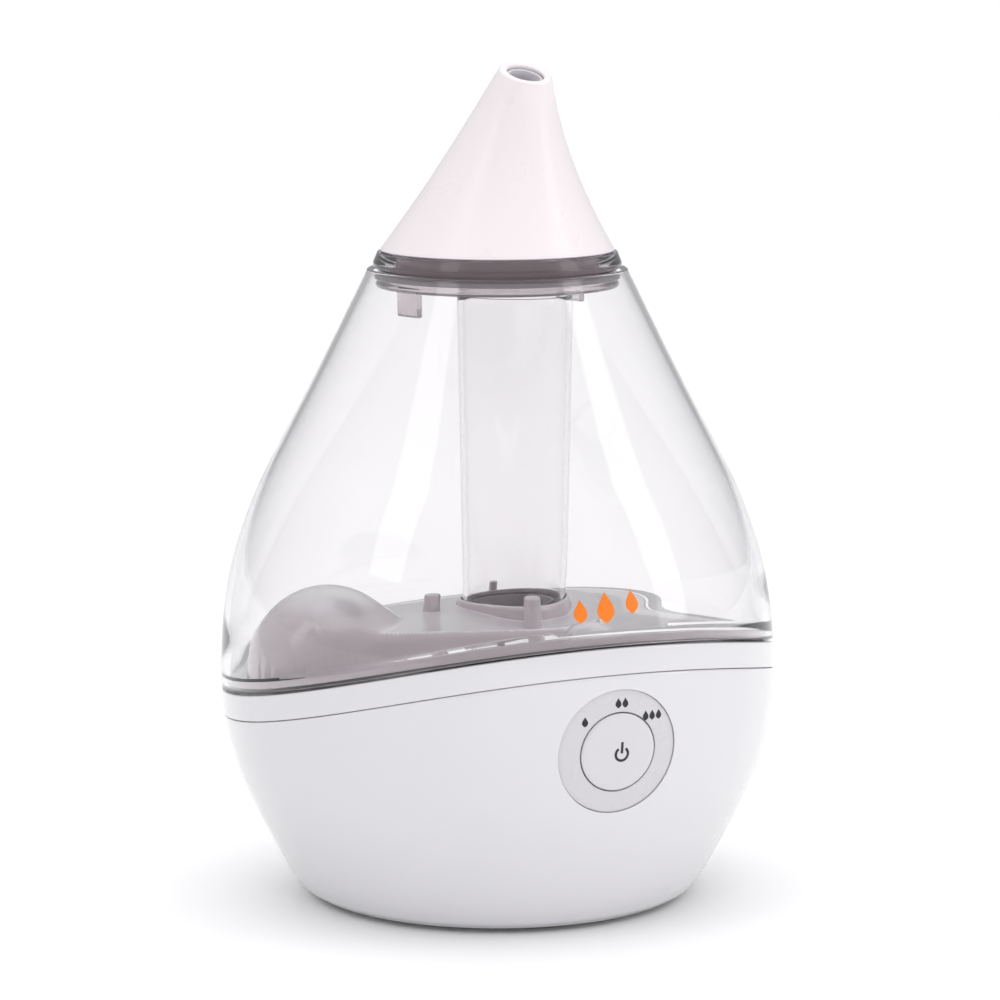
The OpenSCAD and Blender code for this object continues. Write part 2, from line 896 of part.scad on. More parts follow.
module fan_frame() {
    bore = fan_w / 2 - 1.2;
    half = fan_w / 2;
    color([0.12, 0.12, 0.13])
    translate([fan_at[0], fan_at[1], fan_z])
        difference() {
            union() {
                difference() {
                    translate([-half, -half, 0])
                        cube([fan_w, fan_w, fan_h]);
                    translate([0, 0, -1])
                        cylinder(r = bore, h = fan_h + 2);
                }
                cylinder(r = 8, h = 1.4);
                for (turn = [45, 135, 225, 315])
                    rotate([0, 0, turn])
                        translate([0, -1, 0])
                            cube([bore + 1, 2, 1.4]);
                cylinder(r = 2.4, h = 5);
            }
            translate([0, 0, 0.6])
                cylinder(r = 1.05, h = 6);
            for (x = [-16, 16]) for (y = [-16, 16])
                translate([x, y, -1])
                    cylinder(r = 1.6, h = fan_h + 2);
        }
}

module fan_rotor() {
    blades = 7;
    blade_r = fan_w / 2 - 2;
    color([0.16, 0.16, 0.17])
    translate([fan_at[0], fan_at[1], fan_z])
        union() {
            translate([0, 0, 2])
                difference() {
                    cylinder(r = 9.4, h = 7.4);
                    translate([0, 0, -1])
                        cylinder(r = 8.2, h = 7);
                }
            translate([0, 0, 1])
                cylinder(r = 1, h = 7.6);
            for (i = [0:blades - 1])
                rotate([0, 0, 360 * i / blades])
                    translate([8.9, 0, 5.7])
                        rotate([38, 0, 0])
                            translate([0, -4, -0.5])
                                cube([blade_r - 8.9 - 0.6, 8, 1]);
        }
}

module fan_screws() {
    color([0.6, 0.6, 0.62])
    for (x = [-16, 16]) for (y = [-16, 16])
        translate([fan_at[0] + x, fan_at[1] + y, fan_z + fan_h + 1.2])
            rotate([180, 0, 0])
                screw(2.4, 1.2, 1.2, fan_h + 2.5);
}

// Channel from the fan to the mist chamber
module fan_duct() {
    low = fan_z + fan_h + 1.6;
    mid = 46;
    wall = 1.6;
    left = fan_at[0] - 17;
    right = fan_at[0] + 17;
    outlet = tube_x - chamber_r - 2.05;
    color([0.85, 0.85, 0.86])
    difference() {
        union() {
            translate([left, fan_at[1] - 17, low])
                cube([34, 34, mid - low]);
            translate([left, tube_y - 10, mid - 1])
                cube([30, 20, duct_top - mid + 1]);
            translate([left, tube_y - 10, duct_top - 9.6])
                cube([outlet - left, 20, 9.6]);
        }
        translate([left + wall, fan_at[1] - 17 + wall, low - 1])
            cube([34 - 2 * wall, 34 - 2 * wall, mid - low + 1 - wall]);
        translate([left + wall, tube_y - 10 + wall, mid - 6])
            cube([30 - 2 * wall, 20 - 2 * wall, duct_top - mid + 6 - wall]);
        translate([left + wall, tube_y - 10 + wall, duct_top - 9.6 + wall])
            cube([60, 20 - 2 * wall, 9.6 - 2 * wall]);
    }
}

// ---- power ----

board_z = plate_top + 5.5 + 0.1;

module driver_board() {
    color([0.12, 0.42, 0.22])
    difference() {
        translate([board_at[0] - board_size[0] / 2, board_at[1] - board_size[1] / 2, board_z])
            cube([board_size[0], board_size[1], 1.6]);
        for (x = [-1, 1] * board_hole[0]) for (y = [-1, 1] * board_hole[1])
            translate([board_at[0] + x, board_at[1] + y, board_z - 1])
                cylinder(r = 1.25, h = 4);
    }
}

module transformer() {
    color([0.85, 0.7, 0.3])
    translate([board_at[0] - 6, board_at[1] + 4, board_z + 1.6]) {
        cube([22, 18, 4]);
        translate([3, 0, 4])
            cube([16, 18, 12]);
    }
}

module capacitor() {
    color([0.15, 0.2, 0.45])
    translate([board_at[0] - 14, board_at[1] + 10, board_z + 1.6])
        cylinder(r = 5, h = 14);
}

// Finned aluminium block on the board
module heat_sink() {
    fins = 6;
    color([0.75, 0.77, 0.79])
    translate([board_at[0] - 12, board_at[1] - 22, board_z + 1.6])
        union() {
            cube([24, 20, 2.4]);
            for (i = [0:fins - 1])
                translate([i * (24 - 1.4) / (fins - 1), 0, 2])
                    cube([1.4, 20, 14]);
        }
}

module driver_screws() {
    color([0.6, 0.6, 0.62])
    for (x = [-1, 1] * board_hole[0]) for (y = [-1, 1] * board_hole[1])
        translate([board_at[0] + x, board_at[1] + y, board_z + 1.6 + 1.2])
            rotate([180, 0, 0])
                screw(2, 1.2, 0.9, 6);
}

nozzle();
nozzle_liner();
lid_ring();
lid_seal();
tank_shell();
tank_floor();
mist_tube();
tube_gasket();
valve_plunger();
valve_washer();
valve_spring();
base_tray();
base_shell();
bottom_plate();
rubber_feet();
bottom_screws();
cord_gland();
escutcheon();
power_button();
control_board();
tact_switch();
power_led();
board_screws();
transducer_disc();
transducer_seal();
transducer_holder();
transducer_screws();
float_ring();
float_magnet();
reed_switch();
fan_frame();
fan_rotor();
fan_screws();
fan_duct();
driver_board();
transformer();
capacitor();
heat_sink();
driver_screws();
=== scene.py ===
import json
import math

import bmesh
import bpy
import numpy as np
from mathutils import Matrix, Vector


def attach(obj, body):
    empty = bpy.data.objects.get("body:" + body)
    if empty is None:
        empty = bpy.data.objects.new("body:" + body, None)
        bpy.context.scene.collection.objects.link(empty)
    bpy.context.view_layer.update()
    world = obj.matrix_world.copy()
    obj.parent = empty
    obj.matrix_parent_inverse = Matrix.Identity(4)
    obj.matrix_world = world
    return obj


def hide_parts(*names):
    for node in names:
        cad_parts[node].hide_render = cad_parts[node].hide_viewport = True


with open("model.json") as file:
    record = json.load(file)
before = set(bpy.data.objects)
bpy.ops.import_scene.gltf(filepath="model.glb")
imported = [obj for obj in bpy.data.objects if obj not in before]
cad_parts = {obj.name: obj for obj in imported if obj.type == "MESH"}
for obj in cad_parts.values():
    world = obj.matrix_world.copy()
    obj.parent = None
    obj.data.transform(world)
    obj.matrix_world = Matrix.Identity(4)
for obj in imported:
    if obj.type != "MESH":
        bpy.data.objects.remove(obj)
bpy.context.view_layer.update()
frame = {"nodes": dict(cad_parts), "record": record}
nodes = frame["nodes"]

MM = 0.001

# Seam between tank and base: the inside of one very large cylinder, in millimetres
SEAM_TURN = math.radians(17.3)
SEAM_TILT = math.radians(2.65)
SEAM_R = 442.0
SEAM_LOW_Z = 75.4
SEAM_SHIFT = 51.8
SEAM_GAP = 0.6
BAND_H = 9.3

# Walls and rims, in millimetres; the band and the base's lower shell meet in a hair-thin gap
TANK_WALL = 2.2
WELD_WALL = 0.8
BASE_WALL = 2.6
BAND_GAP = 0.04
MOUTH_Z = 215.3
BASE_LOW_Z = 1.5
GLAND_R = 6.5

# Tank floor and base tray, in millimetres: one lies above the seam, the other below it
SHEET = 2.2
FLOOR_RISE = 4.1
TRAY_DROP = 1.8
TUBE_AT = (6.0, 2.4)
PLATEAU_Z = 96.0
DOME_AT = (-57.0, -26.0)
DOME_R = 26.2
DOME_Z = 84.0
BUMP_AT = (31.0, -27.0)
BUMP_R = 12.0
BUMP_Z = 86.0
VALVE_AT = (-14.0, 54.0)
FLOAT_AT = (44.0, 26.0)

# Posts on the tank floor, each (x, y, radius, top), and spots round the raised block they stand on
POSTS = ((-22.0, -11.0, 2.9, 104.0), (12.0, -26.5, 2.9, 104.0), (-2.0, 23.2, 1.7, 103.0))
BLOCK_SPOTS = ((-60, -47), (-36, -44), (-9, -35), (13, -31), (25, -25), (35, -10),
               (34, 14), (20, 27), (-3, 26), (-17, 17), (-36, 8), (-60, 0))

# Control: a plate and a button on an axis that leans out of the body's axis, in millimetres
PANEL_TURN = math.radians(25)
PANEL_TILT = math.radians(6)
PANEL_Z = 65.5
PANEL_REACH = 94.0
PANEL_START = (0.0, 0.0, PANEL_Z + PANEL_REACH * math.tan(PANEL_TILT))
PANEL_R = 21.0
BUTTON_R = 13.1

# Thickness of the marks on the control, and the tank's radius at its own marks, in millimetres
CONTROL_INK = 0.06
TANK_MARK_R = 92.0

# Mist cone, in millimetres
CONE_Z = 221.5
CONE_R = 40.0
TIP_Z = 282.2
TIP_R = 8.8
TIP_LEAN = 18.6
LEAN_TURN = math.radians(31)
TIP_TILT = math.radians(23)
CONE_WALL = 2.0
TIP_WALL = 2.9

# Surface relief, as its full height in metres, and how strongly light bends
GRAIN_HEIGHT = 0.00008
WAVE_HEIGHT = 0.0006
BRUSH_HEIGHT = 0.00005
PLASTIC_IOR = 1.49
CLEAR_IOR = 1.45

# Brightness of the room towards the camera, at the sides, and what overhead adds
FRONT_LIGHT = 0.2
SIDE_LIGHT = 0.52
OVERHEAD_LIGHT = 0.95

# Edges sharper than this stay sharp
SHARP_ANGLE = math.radians(35)

# Radius of the body at a few heights, joined by a smooth curve: height, radius
WIDEST_R = 94.97
BODY_OUTLINE = ((1.5, 64.0), (3.2, 67.2), (6.2, 70.0), (10.5, 72.8), (16, 75.8), (23, 79.4), (30, 83.0),
                (44, 89.2), (58, 93.0), (72, 94.8), (79, 94.95), (86, 94.8), (100, 93.7), (114, 91.2),
                (128, 87.0), (142, 81.4), (156, 74.3), (170, 66.9), (184, 59.7), (198, 52.7), (MOUTH_Z, 44.1))


# ---------- shapes ----------

def smooth_curve(points, x):
    """Value at x of the smooth curve through points, each (x, y)."""
    xs = np.array([p[0] for p in points], float)
    ys = np.array([p[1] for p in points], float)
    slopes = np.gradient(ys, xs)
    x = np.clip(np.asarray(x, float), xs[0], xs[-1])
    i = np.clip(np.searchsorted(xs, x, side="right") - 1, 0, len(xs) - 2)
    span = xs[i + 1] - xs[i]
    t = (x - xs[i]) / span
    a = 2 * t ** 3 - 3 * t ** 2 + 1
    b = t ** 3 - 2 * t ** 2 + t
    c = -2 * t ** 3 + 3 * t ** 2
    d = t ** 3 - t ** 2
    return a * ys[i] + b * span * slopes[i] + c * ys[i + 1] + d * span * slopes[i + 1]


def ease(value, low, high):
    """A smooth step from 0 at low to 1 at high."""
    t = np.clip((value - low) / (high - low), 0, 1)
    return t * t * t * (t * (6 * t - 15) + 10)


def body_r(z):
    """Outer radius of tank and base at a height."""
    return np.minimum(smooth_curve(BODY_OUTLINE, z), WIDEST_R)


def seam_z(x, y):
    """Height of the seam's surface over a spot."""
    u = x * math.sin(SEAM_TURN) - y * math.cos(SEAM_TURN)
    v = x * math.cos(SEAM_TURN) + y * math.sin(SEAM_TURN)
    middle = SEAM_LOW_Z + SEAM_R / math.cos(SEAM_TILT)
    rise = np.sqrt(SEAM_R ** 2 - (u + SEAM_SHIFT) ** 2)
    return middle + (v * math.sin(SEAM_TILT) - rise) / math.cos(SEAM_TILT)


def edge_z(offset):
    """Height at each of TURNS at which the body's wall meets the seam moved up by offset."""
    # a first guess near the seam's middle height, closer each time round
    z = np.full(len(TURNS), 85.0)
    for _ in range(12):
        r = body_r(z)
        z = seam_z(r * np.sin(TURNS), -r * np.cos(TURNS)) + offset
    return z


def make_object(name, points, faces):
    """A mesh object from points in millimetres."""
    mesh = bpy.data.meshes.new(name)
    mesh.from_pydata((np.asarray(points) * MM).tolist(), [], faces)
    work = bmesh.new()
    work.from_mesh(mesh)
    bmesh.ops.recalc_face_normals(work, faces=work.faces)
    work.to_mesh(mesh)
    work.free()
    obj = bpy.data.objects.new(name, mesh)
    bpy.context.scene.collection.objects.link(obj)
    shade(obj)
    return obj


def shade(obj):
    """Smooth shading that breaks at sharp edges."""
    mesh = obj.data
    mesh.polygons.foreach_set("use_smooth", [True] * len(mesh.polygons))
    mesh.set_sharp_from_angle(angle=SHARP_ANGLE)
    mesh.update()


def full_turn(count):
    """Angles all the way round, evenly spaced."""
    return np.linspace(0, 2 * math.pi, count, endpoint=False)


def wrap_faces(rows, columns, wrap_rows=True):
    """Quads over a grid of points closed round along its columns, and along its rows too if wanted."""
    faces = []
    for i in range(rows if wrap_rows else rows - 1):
        here = i * columns
        after = ((i + 1) % rows) * columns
        for j in range(columns):
            k = (j + 1) % columns
            faces.append((here + j, here + k, after + k, after + j))
    return faces


def lathe(name, outline, sides=192, at=(0.0, 0.0)):
    """A closed outline of (radius, height) points turned about an upright axis."""
    r, z = np.array(outline, float).T
    rows = []
    for turn in full_turn(sides):
        rows.append(np.column_stack((at[0] + r * math.sin(turn), at[1] - r * math.cos(turn), z)))
    return make_object(name, np.concatenate(rows), wrap_faces(sides, len(z)))


def rounded(outline, radius, steps=5):
    """A closed outline with its corners rounded."""
    pts = np.array(outline, float)
    out = []
    for i, here in enumerate(pts):
        back = pts[i - 1] - here
        ahead = pts[(i + 1) % len(pts)] - here
        back_length = np.linalg.norm(back)
        ahead_length = np.linalg.norm(ahead)
        cut_length = min(radius, 0.45 * back_length, 0.45 * ahead_length)
        start = here + back / back_length * cut_length
        end = here + ahead / ahead_length * cut_length
        for k in range(steps + 1):
            t = k / steps
            out.append((1 - t) ** 2 * start + 2 * t * (1 - t) * here + t ** 2 * end)
    return out


def join(name, objects):
    """Several pieces of one moulding as one object."""
    work = bmesh.new()
    for obj in objects:
        work.from_mesh(obj.data)
    mesh = bpy.data.meshes.new(name)
    work.to_mesh(mesh)
    work.free()
    for obj in objects:
        old = obj.data
        bpy.data.objects.remove(obj)
        bpy.data.meshes.remove(old)
    obj = bpy.data.objects.new(name, mesh)
    bpy.context.scene.collection.objects.link(obj)
    shade(obj)
    return obj


def cut(obj, cutter):
    """Takes one closed shape out of another."""
    modifier = obj.modifiers.new("cut", "BOOLEAN")
    modifier.operation = "DIFFERENCE"
    modifier.solver = "EXACT"
    modifier.object = cutter
    bpy.context.view_layer.update()
    depsgraph = bpy.context.evaluated_depsgraph_get()
    result = bpy.data.meshes.new_from_object(obj.evaluated_get(depsgraph))
    obj.modifiers.clear()
    old = obj.data
    obj.data = result
    bpy.data.meshes.remove(old)
    bpy.data.objects.remove(cutter)
    shade(obj)


def place(objects, body, slot, *replaced, finish=None):
    """Puts pieces on a body in place of CAD nodes, with the slot's own finish unless another is named."""
    for obj in objects if isinstance(objects, (list, tuple)) else [objects]:
        obj.data.materials.clear()
        obj.data.materials.append(MATERIALS[finish or slot])
        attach(obj, body)
        if replaced:
            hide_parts(*replaced)


# ---------- materials ----------

def new_material(name):
    """A material with its node tree, its shader, and the place on the object that drives its patterns."""
    material = bpy.data.materials.new(name)
    material.use_nodes = True
    tree = material.node_tree
    shader = tree.nodes["Principled BSDF"]
    place_node = tree.nodes.new("ShaderNodeTexCoord")
    return material, tree, shader, place_node.outputs["Object"]


def noise(tree, where, scale, detail=3.0):
    """A pattern of soft random patches, from 0 to 1; scale is in waves per metre."""
    node = tree.nodes.new("ShaderNodeTexNoise")
    node.inputs["Scale"].default_value = scale
    node.inputs["Detail"].default_value = detail
    tree.links.new(where, node.inputs["Vector"])
    return node.outputs["Fac"]


def number_between(tree, value, low, high):
    """A number from low to high as the value goes from 0.3 to 0.7, where noise mostly stays."""
    node = tree.nodes.new("ShaderNodeMapRange")
    node.inputs["From Min"].default_value = 0.3
    node.inputs["From Max"].default_value = 0.7
    node.inputs["To Min"].default_value = low
    node.inputs["To Max"].default_value = high
    tree.links.new(value, node.inputs["Value"])
    return node.outputs["Result"]


def colour_between(tree, value, low, high):
    """A colour from low to high as the value goes from 0 to 1; low is a colour or a node's output."""
    node = tree.nodes.new("ShaderNodeMix")
    node.data_type = "RGBA"
    tree.links.new(value, node.inputs["Factor"])
    if isinstance(low, tuple):
        node.inputs["A"].default_value = (*low, 1)
    else:
        tree.links.new(low, node.inputs["A"])
    node.inputs["B"].default_value = (*high, 1)
    return node.outputs["Result"]


def bump(tree, shader, height, strength, distance):
    """Surface relief from a pattern; distance is its full height in metres."""
    node = tree.nodes.new("ShaderNodeBump")
    node.inputs["Strength"].default_value = strength
    node.inputs["Distance"].default_value = distance
    tree.links.new(height, node.inputs["Height"])
    tree.links.new(node.outputs["Normal"], shader.inputs["Normal"])


def smooth_range(tree, value, from_low, from_high, to_low=0.0, to_high=1.0):
    """A value spread from one range over another, with soft ends."""
    part = tree.nodes.new("ShaderNodeMapRange")
    part.interpolation_type = "SMOOTHSTEP"
    part.inputs["From Min"].default_value = from_low
    part.inputs["From Max"].default_value = from_high
    part.inputs["To Min"].default_value = to_low
    part.inputs["To Max"].default_value = to_high
    tree.links.new(value, part.inputs["Value"])
    return part.outputs["Result"]


def plastic(name, low, high, rough, grain=900.0, grain_depth=0.12, coat=0.0, top=None):
    """Moulded plastic: slight tone drift, uneven gloss and a fine moulded grain.

    top is a paler colour painted on the upper sides as painted light, which leaves the other sides darker as
    painted shade, if there is one.
    """
    material, tree, shader, where = new_material(name)
    colour = colour_between(tree, noise(tree, where, scale=9.0), low, high)
    # painted light and shade: faces that point up get the paler top colour, the others keep the darker colour
    if top:
        surface = tree.nodes.new("ShaderNodeNewGeometry")
        axes = tree.nodes.new("ShaderNodeSeparateXYZ")
        tree.links.new(surface.outputs["Normal"], axes.inputs["Vector"])
        painted_top_light = smooth_range(tree, axes.outputs["Z"], 0.55, 0.98)
        colour = colour_between(tree, painted_top_light, colour, top)
    gloss = number_between(tree, noise(tree, where, scale=60.0), *rough)
    tree.links.new(colour, shader.inputs["Base Color"])
    tree.links.new(gloss, shader.inputs["Roughness"])
    bump(tree, shader, noise(tree, where, grain, detail=2.0), grain_depth, GRAIN_HEIGHT)
    shader.inputs["IOR"].default_value = PLASTIC_IOR
    shader.inputs["Coat Weight"].default_value = coat
    shader.inputs["Coat Roughness"].default_value = 0.08
    return material


def clear(name, low, high, rough, wave=0.05, edge=None):
    """Clear moulded plastic: faint tint, even gloss and a slow waviness.

    edge is a darker colour painted where the wall is seen edge-on, as painted shade along its rims, if there
    is one.
    """
    material, tree, shader, where = new_material(name)
    colour = colour_between(tree, noise(tree, where, scale=7.0), low, high)
    # painted shade: the colour turns to edge where the surface is seen edge-on
    if edge:
        weight = tree.nodes.new("ShaderNodeLayerWeight")
        painted_edge_shade = smooth_range(tree, weight.outputs["Facing"], 0.45, 1.0)
        colour = colour_between(tree, painted_edge_shade, colour, edge)
    gloss = number_between(tree, noise(tree, where, scale=45.0), *rough)
    tree.links.new(colour, shader.inputs["Base Color"])
    tree.links.new(gloss, shader.inputs["Roughness"])
    bump(tree, shader, noise(tree, where, scale=22.0, detail=1.0), wave, WAVE_HEIGHT)
    shader.inputs["Transmission Weight"].default_value = 1.0
    shader.inputs["IOR"].default_value = CLEAR_IOR
    return material


def metal(name, low, high, rough=(0.25, 0.4)):
    """Metal with fine uneven brushing."""
    material, tree, shader, where = new_material(name)
    colour = colour_between(tree, noise(tree, where, scale=80.0), low, high)
    gloss = number_between(tree, noise(tree, where, scale=400.0), *rough)
    tree.links.new(colour, shader.inputs["Base Color"])
    tree.links.new(gloss, shader.inputs["Roughness"])
    bump(tree, shader, noise(tree, where, scale=800.0, detail=2.0), 0.1, BRUSH_HEIGHT)
    shader.inputs["Metallic"].default_value = 1.0
    return material


def ink(name, low, high, rough):
    """Printed ink: a slightly uneven film."""
    material, tree, shader, where = new_material(name)
    colour = colour_between(tree, noise(tree, where, scale=300.0), low, high)
    gloss = number_between(tree, noise(tree, where, scale=900.0), *rough)
    tree.links.new(colour, shader.inputs["Base Color"])
    tree.links.new(gloss, shader.inputs["Roughness"])
    return material


def make_materials():
    """Every finish by the name of its slot: a name, two colours to drift between and a range of roughness."""
    return {
        "white_cone": plastic("cone_plastic", (0.77, 0.71, 0.72), (0.81, 0.75, 0.76), (0.26, 0.36),
                              coat=0.15),
        "outlet_grey": plastic("outlet_plastic", (0.66, 0.65, 0.69), (0.74, 0.73, 0.77), (0.35, 0.5)),
        # painted shade: the dark blue edge colour darkens the lid ring where it is seen edge-on
        "smoky_clear": clear("smoky_plastic_painted_edge_shade", (0.55, 0.50, 0.52), (0.61, 0.56, 0.58), (0.02, 0.06),
                             edge=(0.16, 0.16, 0.30)),
        "silicone": plastic("silicone_rubber", (0.27, 0.23, 0.25), (0.33, 0.29, 0.31), (0.5, 0.65), 500.0),
        # painted shade: the grey edge colour darkens the tank wall where it is seen edge-on
        "clear_tank": clear("tank_plastic_painted_edge_shade", (0.925, 0.917, 0.922), (0.945, 0.937, 0.942), (0.0, 0.02),
                            wave=0.03, edge=(0.78, 0.78, 0.81)),
        # painted shade: the mauve grey stands in for shade on the floor's sides under the clear tank, and the
        # paler top is painted light on its upward faces
        "floor_white": plastic("floor_plastic_painted_light_and_shade", (0.66, 0.58, 0.62), (0.72, 0.64, 0.68), (0.12, 0.22),
                               coat=1.0, top=(0.96, 0.94, 0.97)),
        # painted shade: the grey edge colour darkens the tube where it is seen edge-on
        "clear_tube": clear("tube_plastic_painted_edge_shade", (0.94, 0.932, 0.938), (0.965, 0.957, 0.963), (0.01, 0.04),
                            wave=0.04, edge=(0.72, 0.71, 0.75)),
        "inner_white": plastic("inner_plastic", (0.76, 0.76, 0.77), (0.83, 0.83, 0.84), (0.4, 0.55),
                               700.0, 0.2),
        "black_rubber": plastic("black_rubber", (0.02, 0.02, 0.02), (0.045, 0.045, 0.045), (0.55, 0.75),
                                600.0, 0.3),
        "spring_steel": metal("spring_steel", (0.55, 0.55, 0.57), (0.68, 0.68, 0.70), (0.15, 0.3)),
        "base_white": plastic("base_plastic", (0.65, 0.64, 0.66), (0.69, 0.68, 0.70), (0.16, 0.24),
                              coat=0.35),
        "plate_white": plastic("plate_plastic", (0.78, 0.78, 0.78), (0.84, 0.84, 0.84), (0.45, 0.6),
                               500.0, 0.3),
        "foot_rubber": plastic("foot_rubber", (0.30, 0.30, 0.31), (0.38, 0.38, 0.39), (0.6, 0.8),
                               500.0, 0.4),
        "screw_steel": metal("screw_steel", (0.45, 0.45, 0.46), (0.62, 0.62, 0.63)),
        "gland_rubber": plastic("gland_rubber", (0.66, 0.66, 0.66), (0.74, 0.74, 0.74), (0.5, 0.7),
                                500.0, 0.3),
        "control_white": plastic("control_plastic", (0.57, 0.55, 0.58), (0.61, 0.59, 0.62), (0.24, 0.32)),
        "button_white": plastic("button_plastic", (0.60, 0.58, 0.61), (0.64, 0.62, 0.65), (0.18, 0.26),
                                coat=0.3),
        "board_green": plastic("board_laminate", (0.015, 0.12, 0.04), (0.03, 0.2, 0.07), (0.3, 0.45),
                               300.0, 0.3),
        "black_plastic": plastic("black_plastic", (0.02, 0.02, 0.02), (0.04, 0.04, 0.042), (0.35, 0.5)),
        "led_clear": clear("led_plastic", (0.5, 0.7, 0.95), (0.6, 0.78, 0.98), (0.05, 0.1)),
        "transducer_brass": metal("transducer_brass", (0.66, 0.55, 0.28), (0.78, 0.68, 0.40)),
        "aluminium": metal("aluminium", (0.62, 0.63, 0.65), (0.74, 0.75, 0.77), (0.3, 0.45)),
        "magnet_grey": metal("magnet_grey", (0.12, 0.12, 0.13), (0.2, 0.2, 0.21), (0.5, 0.7)),
        "reed_glass": clear("reed_glass", (0.75, 0.85, 0.75), (0.82, 0.9, 0.82), (0.02, 0.05)),
        "rotor_black": plastic("rotor_plastic", (0.025, 0.025, 0.028), (0.05, 0.05, 0.055), (0.3, 0.45)),
        "transformer_yellow": plastic("transformer_tape", (0.62, 0.44, 0.08), (0.75, 0.56, 0.14), (0.3, 0.5)),
        "capacitor_blue": plastic("capacitor_sleeve", (0.02, 0.03, 0.14), (0.04, 0.06, 0.22), (0.2, 0.35)),
        "black_ink": ink("black_ink", (0.008, 0.008, 0.009), (0.02, 0.02, 0.022), (0.35, 0.5)),
        "orange_ink": ink("orange_ink", (0.78, 0.17, 0.008), (0.86, 0.22, 0.015), (0.3, 0.45)),
    }


MATERIALS = make_materials()


# ---------- body shells ----------

# Angles round the body at which its walls have points
TURNS = full_turn(288)


def wall_section(low, high, wall, low_round, high_round, steps, thicker):
    """One side of a curved wall from low to high, rounded at both edges: arrays r and z, closed.

    thicker is added inside a band above the low edge, and fades out upwards.
    """
    share = np.linspace(0, 1, steps)
    z_out = low + low_round + (high - high_round - low - low_round) * share
    r_out = body_r(z_out)
    band = thicker * ease(z_out - low, 4.0, 5.0) * (1 - ease(z_out - low, 9.0, 26.0))
    r_in = (r_out - wall - band)[::-1]
    middle = 0.5 * wall
    arc = np.linspace(0, math.pi, 9)[1:-1]
    top_z = high - high_round + high_round * np.sin(arc)
    top_r = body_r(high - high_round) - middle + middle * np.cos(arc)
    low_z = low + low_round - low_round * np.sin(arc)
    low_r = body_r(low + low_round) - middle - middle * np.cos(arc)
    r = np.concatenate((r_out, top_r, r_in, low_r))
    z = np.concatenate((z_out, top_z, z_out[::-1], low_z))
    return r, z


def wall_object(name, lows, highs, wall, low_round, high_round, steps, thicker=0.0):
    """A wall all round the body between two edges, each given as a height for every one of TURNS."""
    rows = []
    for turn, low, high in zip(TURNS, lows, highs):
        r, z = wall_section(low, high, wall, low_round, high_round, steps, thicker)
        rows.append(np.column_stack((r * math.sin(turn), -r * math.cos(turn), z)))
    return make_object(name, np.concatenate(rows), wrap_faces(len(TURNS), len(rows[0])))


def tank_shell():
    """The tank's clear wall, thicker in a band above its foot where the floor is welded in."""
    lows = edge_z(SEAM_GAP / 2)
    highs = np.full(len(TURNS), MOUTH_Z)
    wall = wall_object("tank_wall", lows, highs, TANK_WALL, 0.7, 0.6, 130, thicker=WELD_WALL)
    place(wall, "tank", "clear_tank", "tank_shell")


def base_shell():
    """The base's lower shell, with round openings for the control plate and the cord gland."""
    highs = edge_z(-BAND_H - BAND_GAP / 2)
    lows = np.full(len(TURNS), BASE_LOW_Z)
    shell = wall_object("base_shell_wall", lows, highs, BASE_WALL, 0.4, 0.35, 110)
    cut(shell, panel_cylinder("panel_cutter", PANEL_R + 0.12, 70, 120))
    cut(shell, gland_cylinder("gland_cutter", GLAND_R + 0.05, -14, 14))
    place(shell, "base", "base_white", "base_shell")


def trim_band():
    """The band between the seam and the base's lower shell."""
    lows = edge_z(-BAND_H + BAND_GAP / 2)
    highs = edge_z(-SEAM_GAP / 2)
    return wall_object("trim_band_wall", lows, highs, BASE_WALL, 0.35, 0.45, 24)


# ---------- control ----------

def panel_axes():
    """Directions at the control: straight out of the wall, across it, and up it."""
    level = math.cos(PANEL_TILT)
    outward = Vector((math.sin(PANEL_TURN) * level, -math.cos(PANEL_TURN) * level, -math.sin(PANEL_TILT)))
    across = Vector((math.cos(PANEL_TURN), math.sin(PANEL_TURN), 0))
    return outward, across, outward.cross(across)


def panel_point(a, b, depth):
    """A spot on the wall, a across and b up from the control's middle, at a depth below the surface."""
    outward, across, up = (np.array(v) for v in panel_axes())
    spot = np.array(PANEL_START) + np.multiply.outer(a, across) + np.multiply.outer(b, up)
    # a first guess of the way out to the wall, closer each time round
    reach = np.full(np.shape(a), 92.0)
    for _ in range(14):
        p = spot + np.multiply.outer(reach, outward)
        error = np.hypot(p[..., 0], p[..., 1]) - (body_r(p[..., 2]) - depth)
        reach = reach - error
    return spot + np.multiply.outer(reach, outward)


def tube_between(name, start, end, radius, sides):
    """A plain closed rod."""
    axis = (end - start).normalized()
    side = axis.orthogonal().normalized()
    other = axis.cross(side)
    points = []
    for middle in (start, end):
        for k in range(sides):
            angle = 2 * math.pi * k / sides
            points.append(middle + (side * math.cos(angle) + other * math.sin(angle)) * radius)
    faces = wrap_faces(2, sides, wrap_rows=False)
    faces.append(tuple(range(sides)))
    faces.append(tuple(range(sides, 2 * sides)))
    return make_object(name, [tuple(p) for p in points], faces)


def panel_cylinder(name, radius, near, far, sides=96):
    """A rod along the control's axis, between two distances from the body's axis."""
    outward, _, _ = panel_axes()
    start = Vector(PANEL_START)
    return tube_between(name, start + outward * near, start + outward * far, radius, sides)


def panel_disc(name, profile):
    """A round plate that follows the wall: profile lists (radius, depth below the surface), closed."""
    r, depth = np.array(profile, float).T
    sides = 128
    rows = [panel_point(r * math.cos(angle), r * math.sin(angle), depth) for angle in full_turn(sides)]
    return make_object(name, np.concatenate(rows), wrap_faces(sides, len(profile)))


def dense(profile):
    """A closed profile with extra points, so that it can follow a curved wall."""
    step = 1.2
    out = []
    for i, here in enumerate(profile):
        after = profile[(i + 1) % len(profile)]
        count = max(1, int(math.dist(here, after) / step))
        for k in range(count):
            t = k / count
            out.append((here[0] + (after[0] - here[0]) * t, here[1] + (after[1] - here[1]) * t))
    return out


